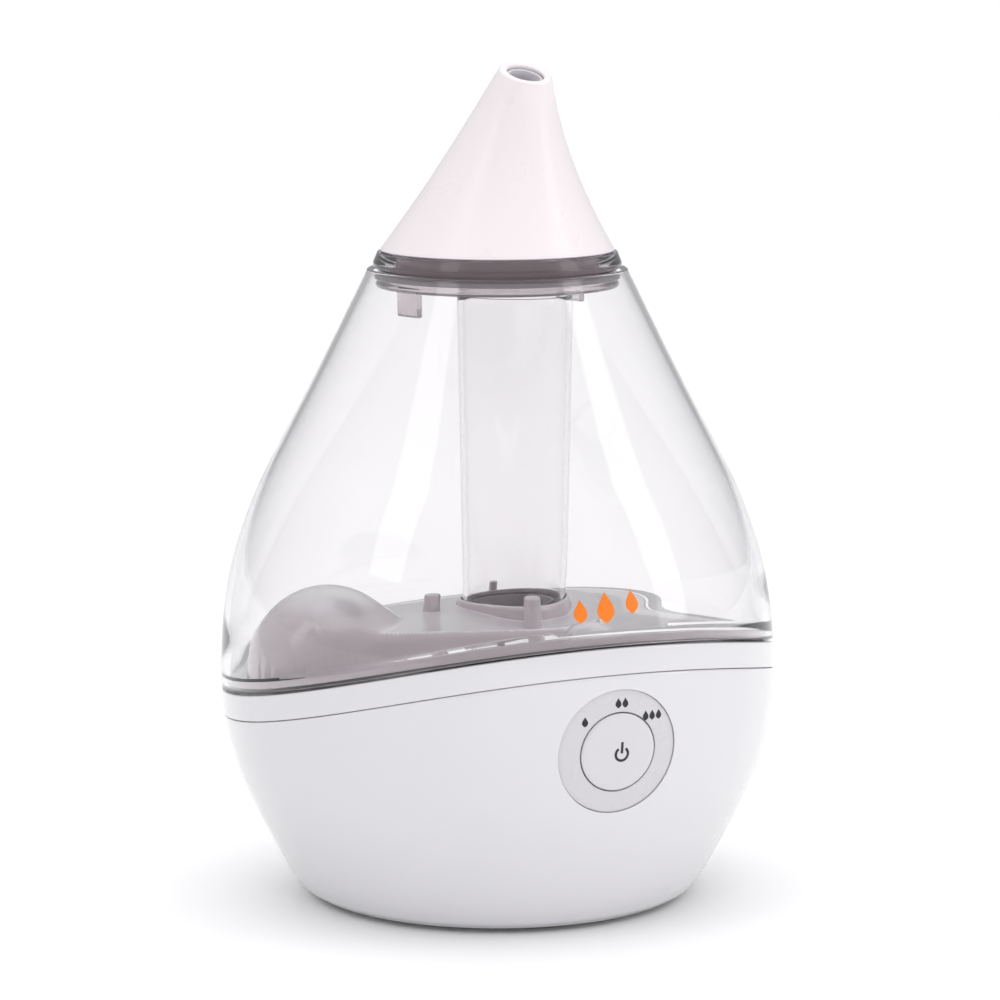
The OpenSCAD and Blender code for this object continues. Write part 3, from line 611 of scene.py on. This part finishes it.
def control():
    """The round control plate and the power button in its middle. Profiles are (radius, depth)."""
    hole_r = BUTTON_R + 0.45
    plate = rounded([(hole_r, 0.62), (PANEL_R, 0.5), (PANEL_R, 2.2), (hole_r, 2.2)], 0.35)
    disc = panel_disc("control_plate", dense([tuple(p) for p in plate]))
    place(disc, "base", "control_white", "escutcheon")
    rim_r = BUTTON_R + 2.2
    face = [(0.02, 0.42), (BUTTON_R * 0.6, 0.32), (BUTTON_R - 0.9, 0.18), (BUTTON_R - 0.35, 0.3),
            (BUTTON_R, 0.7), (BUTTON_R, 2.95), (rim_r, 2.98), (rim_r, 3.78), (0.02, 3.78)]
    cap = panel_disc("button_cap", dense(face))
    stem = panel_cylinder("button_stem", 3.0, 86.7, 92, 32)
    button = join("power_button_cap", [cap, stem])
    place(button, "button", "button_white", "power_button")


def ribbon(name, low_left, low_right, top_left, top_right):
    """A thin closed strip between four matching lines of points."""
    count = len(low_left)
    points = np.concatenate((low_left, top_left, top_right, low_right))
    faces = []
    for strip in range(4):
        a = strip * count
        b = ((strip + 1) % 4) * count
        faces += [(a + i, a + i + 1, b + i + 1, b + i) for i in range(count - 1)]
    faces.append((0, count, 2 * count, 3 * count))
    faces.append((count - 1, 4 * count - 1, 3 * count - 1, 2 * count - 1))
    return make_object(name, points, faces)


def raised_mark(name, left, right, depth):
    """A thin printed mark on the wall: two matching edge lines, in millimetres across and up."""
    lines = []
    for level in (depth, depth - CONTROL_INK):
        for line in (left, right):
            lines.append(panel_point(line[:, 0], line[:, 1], np.full(len(line), level)))
    return ribbon(name, *lines)


def drop_edges(middle, width, height, count=25):
    """Left and right edges of an upright drop, from its point down to its round end."""
    share = np.linspace(0.001, 0.999, count)
    half = 0.5 * width * np.sin(math.pi * share ** 1.45) ** 0.8
    y = middle[1] + height * (0.5 - share)
    return np.column_stack((middle[0] - half, y)), np.column_stack((middle[0] + half, y))


def control_marks():
    """Power symbol on the button, and one, two and three drops around it for the mist settings."""
    button_depth = 0.36
    symbol_at = np.array((0.9, -0.5))
    radius = 2.2
    half_stroke = 0.85 / 2
    angles = np.radians(np.linspace(125, 415, 60))
    spokes = np.column_stack((np.cos(angles), np.sin(angles)))
    inner = symbol_at + spokes * (radius - half_stroke)
    outer = symbol_at + spokes * (radius + half_stroke)
    arc = raised_mark("power_arc", inner, outer, button_depth)
    y = symbol_at[1] + np.linspace(0.3, 4.1, 6)
    left = np.column_stack((np.full(6, symbol_at[0] - half_stroke), y))
    right = np.column_stack((np.full(6, symbol_at[0] + half_stroke), y))
    bar = raised_mark("power_bar", left, right, button_depth)
    place([arc, bar], "button", "button_white", finish="black_ink")
    ring_r = 16.6
    drop_pitch = 2.5
    for name, angle, count in (("low", 138, 1), ("medium", 88, 2), ("high", 44, 3)):
        middle = np.array((ring_r * math.cos(math.radians(angle)), ring_r * math.sin(math.radians(angle))))
        for k in range(count):
            at = middle + ((k - (count - 1) / 2) * drop_pitch, 0)
            left, right = drop_edges(at, 2.1, 3.3)
            mark = raised_mark(f"mist_{name}_drop_{k + 1}", left, right, 0.56)
            place(mark, "base", "control_white", finish="black_ink")


# ---------- tank floor and base tray ----------

def closed_curve(spots, steps):
    """A smooth closed curve through spots."""
    pts = np.array(spots, float)
    count = len(pts)
    out = []
    for i in range(count):
        a, b, c, d = pts[i - 1], pts[i], pts[(i + 1) % count], pts[(i + 2) % count]
        for k in range(steps):
            t = k / steps
            out.append(0.5 * (2 * b + (c - a) * t + (2 * a - 5 * b + 4 * c - d) * t ** 2
                              + (3 * b - a - 3 * c + d) * t ** 3))
    return np.array(out)


def inside_distance(x, y, outline):
    """Distance to a closed outline, positive inside."""
    nearest = np.full(x.shape, 1e9)
    inside = np.zeros(x.shape, bool)
    for p, q in zip(outline, np.roll(outline, -1, axis=0)):
        edge = q - p
        t = np.clip(((x - p[0]) * edge[0] + (y - p[1]) * edge[1]) / (edge @ edge), 0, 1)
        nearest = np.minimum(nearest, np.hypot(x - p[0] - t * edge[0], y - p[1] - t * edge[1]))
        crosses = (p[1] > y) != (q[1] > y)
        where = p[0] + (y - p[1]) * edge[0] / (edge[1] if edge[1] else 1e-9)
        inside ^= crosses & (x < where)
    return np.where(inside, nearest, -nearest)


def blend_up(a, b, width):
    """The higher of two heights, with a fillet where they meet."""
    h = np.maximum(width - np.abs(a - b), 0) / width
    return np.maximum(a, b) + h * h * width / 4


def hill(x, y, at, radius, shoulder):
    """Height of a round block with a round top, very low outside it."""
    d = np.hypot(x - at[0], y - at[1])
    top = shoulder + np.sqrt(np.maximum(radius ** 2 - d ** 2, 0))
    fall = 60
    return np.where(d < radius, top, 0) - fall * ease(d, radius - 0.1, radius + 0.6)


def floor_height(x, y):
    """Height of the tank floor's upper side."""
    plate = seam_z(x, y) + FLOOR_RISE
    block = closed_curve(BLOCK_SPOTS, 6)
    height = plate + (PLATEAU_Z - plate) * ease(inside_distance(x, y, block), -3.0, 1.0)
    height = blend_up(height, hill(x, y, DOME_AT, DOME_R, DOME_Z), 7.0)
    height = blend_up(height, hill(x, y, BUMP_AT, BUMP_R, BUMP_Z), 1.6)
    return np.maximum(height, plate)


def sheet_object(name, x, y, top, low, keep):
    """A closed sheet between two heights over a grid that is closed round; keep marks the cells that stay."""
    rows, columns = x.shape
    index = np.arange(rows * columns).reshape(rows, columns)
    points = np.concatenate((np.column_stack((x.ravel(), y.ravel(), top.ravel())),
                             np.column_stack((x.ravel(), y.ravel(), low.ravel()))))
    lift = rows * columns
    faces = []
    for i in range(rows):
        n = (i + 1) % rows
        for j in range(columns - 1):
            if not keep[i, j]:
                continue
            a, b, c, d = index[i, j], index[i, j + 1], index[n, j + 1], index[n, j]
            faces.append((a, b, c, d))
            faces.append((a + lift, d + lift, c + lift, b + lift))
            if j == 0 or not keep[i, j - 1]:
                faces.append((a, d, d + lift, a + lift))
            if j == columns - 2 or not keep[i, j + 1]:
                faces.append((c, b, b + lift, c + lift))
            if not keep[i - 1, j]:
                faces.append((b, a, a + lift, b + lift))
            if not keep[n, j]:
                faces.append((d, c, c + lift, d + lift))
    work = make_object(name, points, faces)
    drop_loose(work)
    return work


def drop_loose(obj):
    """Removes the points that no face uses."""
    work = bmesh.new()
    work.from_mesh(obj.data)
    bmesh.ops.delete(work, geom=[v for v in work.verts if not v.link_faces], context="VERTS")
    work.to_mesh(obj.data)
    work.free()


def reach_to(turns, at, inset, offset):
    """Distance from a spot, along each turn, to the wall's inner side at the seam."""
    # a first guess, closer each time round
    reach = np.full(len(turns), 90.0)
    for _ in range(25):
        x, y = at[0] + reach * np.sin(turns), at[1] - reach * np.cos(turns)
        r = body_r(seam_z(x, y) + offset) - inset
        reach += r - np.hypot(x, y)
    return reach


def cell_middles(values):
    """Mean of the four corners of each cell of a grid closed round."""
    pairs = 0.25 * (values + np.roll(values, -1, axis=0))
    return pairs[:, :-1] + pairs[:, 1:]


def cell_keep(x, y, holes):
    """Which cells of a grid closed round lie clear of round holes."""
    x_middle = cell_middles(x)
    y_middle = cell_middles(y)
    keep = np.ones(x_middle.shape, bool)
    for at, radius in holes:
        keep &= np.hypot(x_middle - at[0], y_middle - at[1]) > radius
    return keep


def round_grid(near, inset, offset, steps):
    """Spots x, y round the tube's axis: at the near radii, then in steps out to the wall's inner side."""
    turns = full_turn(480)
    limit = reach_to(turns, TUBE_AT, inset, offset)[:, None]
    share = np.linspace(0, 1, steps)[1:]
    last = near[-1]
    reach = np.concatenate((np.tile(near, (len(turns), 1)), last + (limit - last) * share), axis=1)
    x = TUBE_AT[0] + reach * np.sin(turns)[:, None]
    y = TUBE_AT[1] - reach * np.cos(turns)[:, None]
    return x, y


def tank_floor():
    """The tank's floor: one moulding with the tube's socket, the valve's seat and guide, and three posts."""
    # profile of the tube's socket from its bore outwards, as (radius, height)
    socket = ((15.3, 95.7), (15.6, 96.0), (16.5, 96.0), (17.6, 96.0), (17.85, 96.2), (17.95, 98.2),
              (18.2, 98.55), (19.2, 98.55), (19.6, 98.2), (19.75, 97.6), (19.9, 96.1), (20.4, 96.0))
    socket_r, socket_z = np.array(socket).T
    x, y = round_grid(socket_r, TANK_WALL + 0.08, FLOOR_RISE, 150)
    top = floor_height(x, y)
    top[:, :len(socket)] = socket_z
    low = top - SHEET
    low[:, :len(socket)] = PLATEAU_Z - SHEET
    body = sheet_object("tank_floor_sheet", x, y, top, low, cell_keep(x, y, ((VALVE_AT, 8.0),)))
    stub_outline = [(15.3, 68.0), (17.4, 68.0), (17.4, 95.0), (15.3, 95.0)]
    stub = lathe("tube_stub", rounded(stub_outline, 0.5), 96, TUBE_AT)
    seat_outline = [(7.0, 77.4), (9.4, 77.4), (9.4, 80.8), (8.2, 80.8), (7.0, 80.3)]
    seat = lathe("valve_seat", rounded(seat_outline, 0.4), 96, VALVE_AT)
    posts = []
    for k, (x_at, y_at, r, top_z) in enumerate(POSTS):
        outline = [(0.01, 94.5), (r + 0.4, 94.5), (r + 0.1, 96.4), (r, 97.0), (r - 0.05, top_z - 0.6),
                   (r - 0.5, top_z), (0.01, top_z)]
        posts.append(lathe(f"floor_post_{k}", outline, 48, (x_at, y_at)))
    arms = [spider_arm(k * 120) for k in range(3)]
    hub_outline = [(1.85, 77.6), (3.2, 77.6), (3.2, 80.5), (1.85, 80.5)]
    hub = lathe("valve_guide", rounded(hub_outline, 0.2), 48, VALVE_AT)
    whole = join("tank_floor_moulding", [body, stub, seat, hub] + posts + arms)
    place(whole, "tank", "floor_white", "tank_floor")


def spider_arm(turn):
    """One arm of the guide across the valve's hole."""
    angle = math.radians(turn)
    half_width = 0.8
    along = np.array((math.cos(angle), math.sin(angle)))
    side = np.array((-along[1], along[0])) * half_width
    points = []
    for z in (77.8, 80.2):
        for reach, sign in ((2.6, 1), (7.6, 1), (7.6, -1), (2.6, -1)):
            spot = np.array(VALVE_AT) + along * reach + side * sign
            points.append((spot[0], spot[1], z))
    faces = [(0, 1, 2, 3), (4, 5, 6, 7), (0, 1, 5, 4), (1, 2, 6, 5), (2, 3, 7, 6), (3, 0, 4, 7)]
    return make_object("arm", points, faces)


def tray_depth(x, y):
    """How far inside the tray's water hollows a spot lies, positive inside."""
    valve_room = 15 - np.hypot(x - VALVE_AT[0], y - VALVE_AT[1])
    float_room = 13.5 - np.hypot(x - FLOAT_AT[0], y - FLOAT_AT[1])
    depth = np.maximum(valve_room, float_room)
    # channels lead from both hollows to the chamber under the tube
    channel_half = 6
    from_x = x - TUBE_AT[0]
    from_y = y - TUBE_AT[1]
    for at in (VALVE_AT, FLOAT_AT):
        step = np.array(at) - np.array(TUBE_AT)
        length = np.linalg.norm(step)
        t = np.clip((from_x * step[0] + from_y * step[1]) / length ** 2, 0, 1)
        depth = np.maximum(depth, channel_half - np.hypot(from_x - t * step[0], from_y - t * step[1]))
    return depth


def base_tray():
    """The base's water tray with its chamber, the valve's pin, the float's post and the trim band."""
    # profile of the round chamber from its middle hole outwards, as (radius, height)
    chamber = ((8.4, 45.8), (8.7, 46.0), (12.0, 46.0), (16.0, 46.0), (20.0, 46.0), (21.6, 46.1),
               (21.95, 46.6), (22.0, 48.0))
    chamber_r, chamber_z = np.array(chamber).T
    x, y = round_grid(np.append(chamber_r, 22.25), BASE_WALL - 0.1, -TRAY_DROP, 140)
    plate = seam_z(x, y) - TRAY_DROP
    top = plate + (54.0 - plate) * ease(tray_depth(x, y), -0.5, 0.6)
    top[:, :len(chamber)] = chamber_z
    low = top - SHEET
    low[:, :len(chamber)] = 44.0
    floor = sheet_object("tray_sheet", x, y, top, low, cell_keep(x, y, ()))
    pin_outline = [(0.01, 53), (2.6, 53), (2.2, 57), (2.0, 68.4), (0.01, 68.4)]
    pin = lathe("valve_pin", rounded(pin_outline, 0.3), 48, VALVE_AT)
    post_outline = [(0.01, 53), (2.8, 53), (2.5, 55.0), (2.4, 74.0), (0.01, 74.0)]
    post = lathe("float_post", rounded(post_outline, 0.3), 48, FLOAT_AT)
    boss_outline = [(0.01, 45), (3.3, 45), (3.0, 50.9), (0.01, 50.9)]
    boss_ring_r = 14
    bosses = []
    for k in range(3):
        angle = math.radians(30 + 120 * k)
        at = (TUBE_AT[0] + boss_ring_r * math.cos(angle), TUBE_AT[1] + boss_ring_r * math.sin(angle))
        bosses.append(lathe(f"chamber_boss_{k}", rounded(boss_outline, 0.4), 48, at))
    whole = join("base_tray_moulding", [trim_band(), floor, pin, post] + bosses)
    place(whole, "base", "base_white", "base_tray")


# ---------- clear parts above ----------

def mist_tube():
    """The clear tube that stands in the tank, a little wider at its top."""
    low = PLATEAU_Z + 1.0
    high = 206.0
    foot_r = 17.7
    top_r = 19.8
    wall = 1.6
    z = np.linspace(low + 0.5, high - 0.6, 60)
    outer = foot_r + (top_r - foot_r) * (z - low) / (high - low)
    rim = [(outer[-1] - 0.2, high - 0.15), (outer[-1] - 0.8, high), (outer[-1] - 1.4, high - 0.15)]
    foot = [(outer[0] - 1.4, low + 0.1), (outer[0] - 0.8, low), (outer[0] - 0.2, low + 0.1)]
    outline = list(zip(outer, z)) + rim + list(zip(outer[::-1] - wall, z[::-1])) + foot
    tube = lathe("mist_tube_wall", outline, 192, TUBE_AT)
    place(tube, "tank", "clear_tube", "mist_tube")


def lid_tab(k, turn, near_r, far_r):
    """A tab that hangs from the lid ring into the tank, centred at a turn in degrees."""
    low = 201.0
    high = 209.9
    half_width = 4.75
    middle_r = 39.0
    middle = math.radians(turn)
    half = half_width / middle_r
    section = rounded([(near_r, low), (far_r, low), (far_r, high), (near_r, high)], 0.7, 4)
    count = len(section)
    rows = 13
    points = []
    for angle in np.linspace(middle - half, middle + half, rows):
        points += [(r * math.sin(angle), -r * math.cos(angle), z) for r, z in section]
    faces = wrap_faces(rows, count, wrap_rows=False)
    faces += [tuple(range(count)), tuple(range((rows - 1) * count, rows * count))]
    return make_object(f"lid_tab_{k}", points, faces)


def lid_ring():
    """The clear ring in the tank's mouth: its flange, the groove for its seal, and two hanging tabs."""
    mouth_r = 41.9
    bore_r = 37.4
    flange_r = 42.3
    outline = [(bore_r, 209.0), (mouth_r - 1.2, 209.0), (mouth_r - 0.6, 209.8), (mouth_r - 0.6, 210.6),
               (mouth_r - 1.3, 211.4), (mouth_r - 1.3, 211.9), (mouth_r - 2.1, 211.9), (mouth_r - 2.1, 213.5),
               (mouth_r - 1.3, 213.5), (mouth_r - 1.3, 215.9), (flange_r, 215.9), (flange_r, 217.5),
               (flange_r - 1.5, 221.0), (bore_r, 221.0)]
    ring = lathe("lid_ring_wall", rounded(outline, 0.3), 224)
    tabs = [lid_tab(k, turn, bore_r + 0.4, mouth_r - 1.6) for k, turn in enumerate((-48, 138))]
    place([ring] + tabs, "lid", "smoky_clear", "lid_ring")


# ---------- mist cone ----------

def cone_point(t, angle, inset=0.0, lift=0.0):
    """A spot on the cone, t from foot to tip, with an inset into its wall and a lift off its section."""
    reach = TIP_LEAN * (0.5 * t + 0.5 * t * t)
    radius = CONE_R + (TIP_R - CONE_R) * (1.29 * t - 0.29 * t * t) - inset
    tilt = TIP_TILT * t ** 3
    along = radius * np.cos(angle)
    across = radius * np.sin(angle)
    out = reach + along * math.cos(tilt) + lift * math.sin(tilt)
    up = CONE_Z + (TIP_Z - CONE_Z) * t - along * math.sin(tilt) + lift * math.cos(tilt)
    return (out * math.sin(LEAN_TURN) + across * math.cos(LEAN_TURN),
            -out * math.cos(LEAN_TURN) + across * math.sin(LEAN_TURN), up)


def mist_cone():
    """The white cone with its rounded rim, and the skirt that sits in the lid ring."""
    sides = 128
    levels = np.concatenate((np.linspace(0, 0.95, 56), np.linspace(0.96, 1, 9)))
    top_t = 0.985
    half_rim = TIP_WALL / 2
    rim_height = 0.9
    rows = []
    for angle in full_turn(sides):
        section = [cone_point(0, angle, 0.35), cone_point(0.004, angle, 0.05)]
        section += [cone_point(t * top_t + 0.008 * (1 - t), angle) for t in levels]
        section += [cone_point(top_t, angle, half_rim * (1 - math.cos(a)), math.sin(a) * rim_height)
                    for a in np.linspace(0, math.pi, 13)[1:-1]]
        section += [cone_point(t * top_t, angle, CONE_WALL + (TIP_WALL - CONE_WALL) * ease(t, 0.965, 0.985))
                    for t in levels[::-1]]
        rows.append(section)
    cone = make_object("cone_wall", [p for row in rows for p in row], wrap_faces(sides, len(rows[0])))
    skirt_outline = [(35.1, 212.5), (36.9, 212.5), (36.9, 221.6), (38.9, 221.6), (38.9, 222.4), (35.1, 222.4)]
    skirt = lathe("cone_skirt", rounded(skirt_outline, 0.3), 160)
    whole = join("mist_cone", [cone, skirt])
    place(whole, "cone", "white_cone", "nozzle")


def outlet_sleeve():
    """The grey sleeve just inside the cone's tip."""
    sides = 96
    outline = rounded([(5.4, -7.5), (6.3, -7.5), (6.3, -1.8), (5.4, -1.8)], 0.25)
    points = []
    for angle in full_turn(sides):
        points += [cone_point(1.0, angle, TIP_R - r, z) for r, z in outline]
    sleeve = make_object("outlet_sleeve", points, wrap_faces(sides, len(outline)))
    place(sleeve, "cone", "outlet_grey", "nozzle_liner")


# ---------- underside and back ----------

def gland_frame():
    """Middle of the cord gland on the back wall, and the way it points."""
    tilt = math.radians(27)
    return Vector((0, 79.9, 24.0)), Vector((0, math.cos(tilt), -math.sin(tilt)))


def gland_cylinder(name, radius, near, far):
    """A rod along the gland's axis."""
    middle, axis = gland_frame()
    return tube_between(name, middle + axis * near, middle + axis * far, radius, 64)


def cord_gland():
    """The soft bushing for the cord. Its outline is (radius, distance out from the wall)."""
    middle, axis = gland_frame()
    side = Vector((1, 0, 0))
    other = axis.cross(side)
    bore_r = 3.6
    lip_r = 7.4
    outline = rounded([(bore_r, -10.6), (GLAND_R, -10.6), (GLAND_R, -5.0), (lip_r, -5.0), (lip_r, -3.3),
                       (GLAND_R, -3.3), (GLAND_R, 0.6), (8.6, 0.6), (8.6, 1.6), (6.4, 2.9),
                       (bore_r, 2.9)], 0.3)
    sides = 72
    points = []
    for angle in full_turn(sides):
        spoke = side * math.cos(angle) + other * math.sin(angle)
        points += [tuple(middle + spoke * r + axis * z) for r, z in outline]
    gland = make_object("cord_gland_bushing", points, wrap_faces(sides, len(outline)))
    place(gland, "base", "gland_rubber", "cord_gland")


def rubber_feet():
    """Four feet, each with a hollow middle and a plug into the bottom plate."""
    ring_r = 54
    outline = [(0.01, 0.25), (3.4, 0.25), (3.8, 0.0), (5.4, 0.0), (5.85, 0.3), (6.0, 0.8), (6.0, 1.5),
               (2.0, 1.5), (2.0, 3.3), (0.01, 3.3)]
    for k in range(4):
        angle = math.radians(45 + 90 * k)
        at = (ring_r * math.cos(angle), ring_r * math.sin(angle))
        foot = lathe(f"rubber_foot_{k + 1}", outline, 64, at)
        place(foot, "base", "foot_rubber", "rubber_feet")


def finish_inner_nodes():
    """The CAD pieces that stay as they are get their finish."""
    slots = {part["node"]: part["material_slot"] for part in frame["record"]["subparts"]}
    for name, obj in nodes.items():
        material = MATERIALS[slots[name]]
        obj.data.materials.clear()
        obj.data.materials.append(material)


# ---------- the mark on the tank ----------

def tank_mark():
    """Three plain drops on the tank's wall, low on the right of the front."""
    drops = ((17.0, 112.6, 4.6, 7.6), (22.5, 113.4, 6.0, 10.0), (28.5, 114.6, 4.6, 7.6))
    for k, (turn, z, width, height) in enumerate(drops):
        lines = []
        for lift in (0.02, 0.14):
            for line in drop_edges((0.0, z), width, height, 33):
                r = body_r(line[:, 1]) + lift
                angle = math.radians(turn) + line[:, 0] / TANK_MARK_R
                lines.append(np.column_stack((r * np.sin(angle), -r * np.cos(angle), line[:, 1])))
        mark = ribbon(f"tank_drop_mark_{k + 1}", *lines)
        place(mark, "tank", "clear_tank", finish="orange_ink")


# ---------- studio ----------

def studio():
    """A white paper floor, a white room and four soft lights."""
    mesh = bpy.data.meshes.new("floor")
    half = 60.0
    corners = [(-half, -half, 0), (half, -half, 0), (half, half, 0), (-half, half, 0)]
    mesh.from_pydata(corners, [], [(0, 1, 2, 3)])
    floor = bpy.data.objects.new("floor", mesh)
    bpy.context.scene.collection.objects.link(floor)
    material, tree, shader, where = new_material("floor_paper")
    paper = colour_between(tree, noise(tree, where, scale=4.0), (0.93, 0.93, 0.93), (0.95, 0.95, 0.95))
    tree.links.new(paper, shader.inputs["Base Color"])
    shader.inputs["Roughness"].default_value = 0.6
    shader.inputs["Specular IOR Level"].default_value = 0.2
    mesh.materials.append(material)

    world = bpy.data.worlds.new("studio")
    bpy.context.scene.world = world
    world.use_nodes = True
    light_room(world.node_tree)

    # name, place, width and height in metres, power in watts
    lights = (("key", (-1.1, -0.9, 1.3), (0.5, 1.3), 2.3), ("side", (1.3, -0.3, 0.8), (0.4, 1.3), 2.6),
              ("low", (0.5, -1.5, 0.1), (1.4, 0.15), 4.5), ("top", (0.0, 0.1, 1.7), (1.2, 0.9), 2.5))
    for name, at, size, power in lights:
        light = bpy.data.lights.new(name, "AREA")
        light.shape = "RECTANGLE"
        light.size, light.size_y = size
        light.energy = power
        obj = bpy.data.objects.new(name, light)
        bpy.context.scene.collection.objects.link(obj)
        obj.location = at
        aim = Vector((0, 0, 0.13)) - Vector(at)
        obj.rotation_euler = aim.to_track_quat("-Z", "Y").to_euler()
        # the low light only fills in, so it isn't mirrored in the tank
        obj.visible_glossy = name != "low"
        obj.visible_transmission = name != "low"


def light_room(tree):
    """A white room: bright overhead and at the sides, dim towards the camera."""
    sky = tree.nodes["Background"]
    where = tree.nodes.new("ShaderNodeTexCoord")
    axes = tree.nodes.new("ShaderNodeSeparateXYZ")
    tree.links.new(where.outputs["Generated"], axes.inputs["Vector"])
    around = smooth_range(tree, axes.outputs["Y"], -1.0, -0.15, FRONT_LIGHT, SIDE_LIGHT)
    overhead = smooth_range(tree, axes.outputs["Z"], 0.0, 1.0, 0.0, OVERHEAD_LIGHT)
    total = tree.nodes.new("ShaderNodeMath")
    tree.links.new(around, total.inputs[0])
    tree.links.new(overhead, total.inputs[1])
    sky.inputs["Color"].default_value = (0.985, 0.985, 1.0, 1)
    tree.links.new(total.outputs["Value"], sky.inputs["Strength"])


def camera():
    """A long lens from the front, a little above the tank and looking slightly down."""
    data = bpy.data.cameras.new("camera")
    data.sensor_width = 36
    data.lens = 149
    obj = bpy.data.objects.new("camera", data)
    bpy.context.scene.collection.objects.link(obj)
    obj.location = (0.0009, -1.4, 0.35)
    look_down = 8.71
    obj.rotation_euler = (math.radians(90 - look_down), 0, 0)
    bpy.context.scene.camera = obj
    bpy.context.scene.view_settings.view_transform = "Standard"


finish_inner_nodes()
tank_shell()
tank_floor()
mist_tube()
lid_ring()
mist_cone()
outlet_sleeve()
base_tray()
base_shell()
control()
control_marks()
cord_gland()
rubber_feet()
tank_mark()
studio()
camera()
